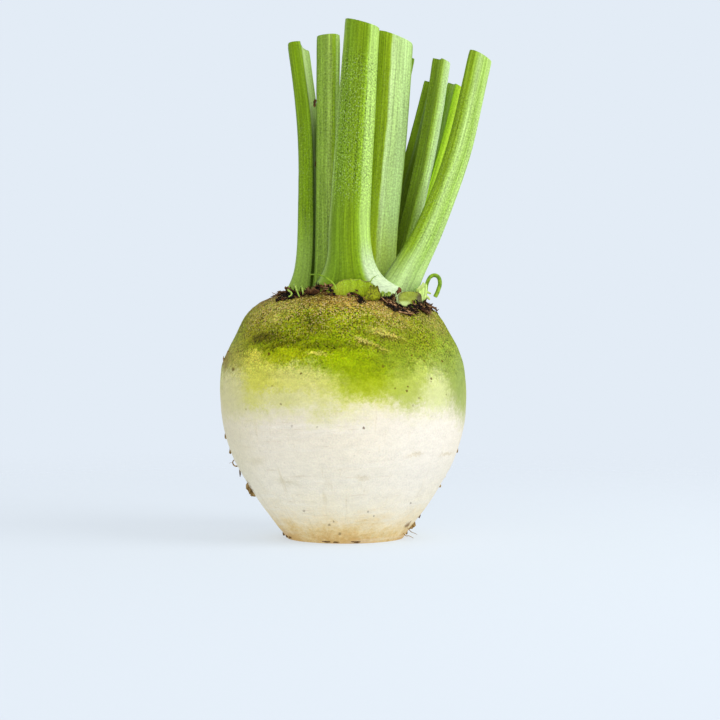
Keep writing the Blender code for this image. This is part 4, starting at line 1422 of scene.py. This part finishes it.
NUBS = (  # azimuth, height, half sizes round, out and up in millimetres, darker or lighter
    (184, 33.8, 0.9, 0.7, 1.2, 0),
    (184, 39.4, 0.8, 0.5, 0.9, 0),
    (194, 71.8, 0.9, 0.4, 0.8, 0),
    (192, 68.5, 0.7, 0.25, 2.0, 0),
    (184, 19.6, 1.5, 1.3, 2.4, 0),
    (186, 17.2, 1.2, 1.1, 1.2, 0),
    (183, 26.2, 0.6, 0.35, 2.2, 1),
    (190, 1.9, 1.1, 0.4, 1.0, 1),
    (198, 1.2, 1.2, 0.3, 0.6, 1),
    (206, 1.1, 1.2, 0.3, 0.5, 1),
    (-4, 20.2, 0.7, 0.5, 0.6, 0),
    (-4, 33.9, 0.7, 0.4, 0.8, 0),
    (-5, 8.4, 0.7, 0.5, 1.0, 1),
    (-7, 5.4, 1.1, 1.2, 1.0, 0),
    (-10, 4.2, 1.3, 1.1, 0.7, 0),
    (-4, 1.8, 0.5, 0.5, 0.7, 0),
    (252, 0.7, 1.6, 0.3, 0.35, 1),
    (262, 0.6, 1.2, 0.3, 0.3, 1),
    (281, 0.7, 1.5, 0.3, 0.35, 1),
    (60, 30, 1.0, 0.6, 1.2, 0),
    (118, 22, 1.2, 0.7, 1.6, 0),
    (95, 44, 0.8, 0.4, 0.8, 0),
    (145, 12, 1.0, 0.6, 0.9, 0),
    (35, 14, 1.1, 0.6, 1.3, 0),
)


def side_skin(azimuth, height):
    """The place on the skin at an azimuth and a height in millimetres."""
    away = heading(azimuth)
    return shoulder_skin.ray_cast(away * 0.2 + Vector((0, 0, height * MM)), -away)[0]


nubs = ([], [])
for number, (azimuth, height, round_way, out, up, dark) in enumerate(NUBS):
    nub = crumb(Vector((0, 0, 0)), (out, round_way, up), number * 1.7)
    place = side_skin(azimuth, height)
    turn = Matrix.Rotation(math.radians(azimuth), 3, "Z")
    for vertex in nub.data.vertices:
        vertex.co = turn @ vertex.co + place
    nubs[dark].append(nub)
bpy.data.objects.remove(crumbs)
cork = litter_finish("corky_nub", (128, 98, 52), (186, 156, 100))
dark_cork = litter_finish("dark_nub", (84, 58, 34), (134, 100, 58))
gather("side_nubs", nubs[0], cork)
gather("dark_nubs", nubs[1], dark_cork)

ROOTLETS = {  # route, thickness, taper
    "curled_rootlet": (
        ((-41.2, -3, 28.2), (-42.4, -3.2, 27.8), (-43.4, -3.3, 28.6), (-43.5, -3.3, 29.6),
         (-42.7, -3.2, 30.3), (-42.0, -3.1, 30.1)), 0.5, (1.2, 0.6)),
    "rootlet_hair": (((-43.4, -3.3, 29.0), (-44.2, -3.4, 29.2), (-45.0, -3.5, 28.9)), 0.14, (1.0, 0.6)),
    "foot_hair": (
        ((24.0, -9, 4.6), (25.4, -10.6, 3.2), (26.4, -12.2, 2.9), (27.6, -13.0, 2.4)), 0.3, (1.0, 0.5)),
    "foot_fibre": (
        ((22.4, -9, 2.4), (23.4, -10, 1.6), (24.6, -11.5, 1.7), (26.2, -12.5, 1.0)), 0.35, (1.0, 0.5)),
    "back_rootlet": (
        ((16.5, 36.2, 27.6), (17.6, 37.8, 26.8), (18.0, 38.6, 24.6), (17.0, 38.2, 23.2)), 0.5, (1.1, 0.5)),
}
for name, made_from in ROOTLETS.items():
    rootlet = thread(name, *made_from, cork)
    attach(rootlet, "root")

# ---- The studio ----
# A pale table that fades into a pale room, with soft daylight from a window at the right and a white
# screen in front. The camera stands level with the middle of the root.

SKY = tint(227, 236, 246)
TABLE_SIZE = 1.6
TABLE_WHOLE, TABLE_GONE = 0.12, 0.62  # the distances in metres between which the table fades away
# painted light: the table glows a little, which keeps its shadows faint and lights the root from below
TABLE_GLOW = 0.585
DAYLIGHT = 0.70
WINDOW = ((0.75, -0.35, 0.65), (0, 0, 0.08), 0.7, 4.6)  # place, aim, size in metres, watts
SCREEN = ((0.12, -0.95, 0.10), (0, 0, 0.05), 0.9, 2.3)
CAMERA_PLACE = (0.0058, -0.593, 0.069)
CAMERA_LENS = 76
CAMERA_SENSOR = 36

nothing_selected()
bpy.ops.mesh.primitive_plane_add(size=TABLE_SIZE)
floor = bpy.context.object
floor.name = "floor"
paper, tree, shader = new_finish(
    "pale_paper", roughness=0.9, specular_ior_level=0.1, base_color=tint(158, 165, 172), emission_color=SKY,
    emission_strength=TABLE_GLOW,
)
far = length_of(add("ShaderNodeTexCoord", {}, "Object", tree))
feed(shader.inputs["Alpha"], eased(far, TABLE_GONE, TABLE_WHOLE))
floor.data.materials.append(paper)

world = bpy.data.worlds.new("studio")
bpy.context.scene.world = world
world.use_nodes = True
tree = world.node_tree
tree.nodes.clear()
seen = add("ShaderNodeBackground", {"Color": SKY, "Strength": 1.0}, tree=tree)
light = add("ShaderNodeBackground", {"Color": (1.0, 1.0, 1.0, 1.0), "Strength": DAYLIGHT}, tree=tree)
to_camera = add("ShaderNodeLightPath", {}, "Is Camera Ray", tree)
lit = add("ShaderNodeMixShader", {0: to_camera, 1: light, 2: seen})
feed(tree.nodes.new("ShaderNodeOutputWorld").inputs[0], lit)


def soft_light(name, place, aim, size, power):
    nothing_selected()
    bpy.ops.object.light_add(type="AREA", location=place)
    lamp = bpy.context.object
    lamp.name = name
    lamp.data.shape = "DISK"
    lamp.data.size = size
    lamp.data.energy = power
    lamp.rotation_euler = (Vector(aim) - Vector(place)).to_track_quat("-Z", "Y").to_euler()


soft_light("window", *WINDOW)
soft_light("front_screen", *SCREEN)

camera_data = bpy.data.cameras.new("camera")
camera = bpy.data.objects.new("camera", camera_data)
bpy.context.scene.collection.objects.link(camera)
camera.location = CAMERA_PLACE
camera.rotation_euler = (math.radians(90), 0, 0)
camera_data.lens = CAMERA_LENS
camera_data.sensor_width = CAMERA_SENSOR
camera_data.clip_start = 0.01
bpy.context.scene.camera = camera
bpy.context.scene.view_settings.view_transform = "Standard"
bpy.context.scene.view_settings.look = "None"
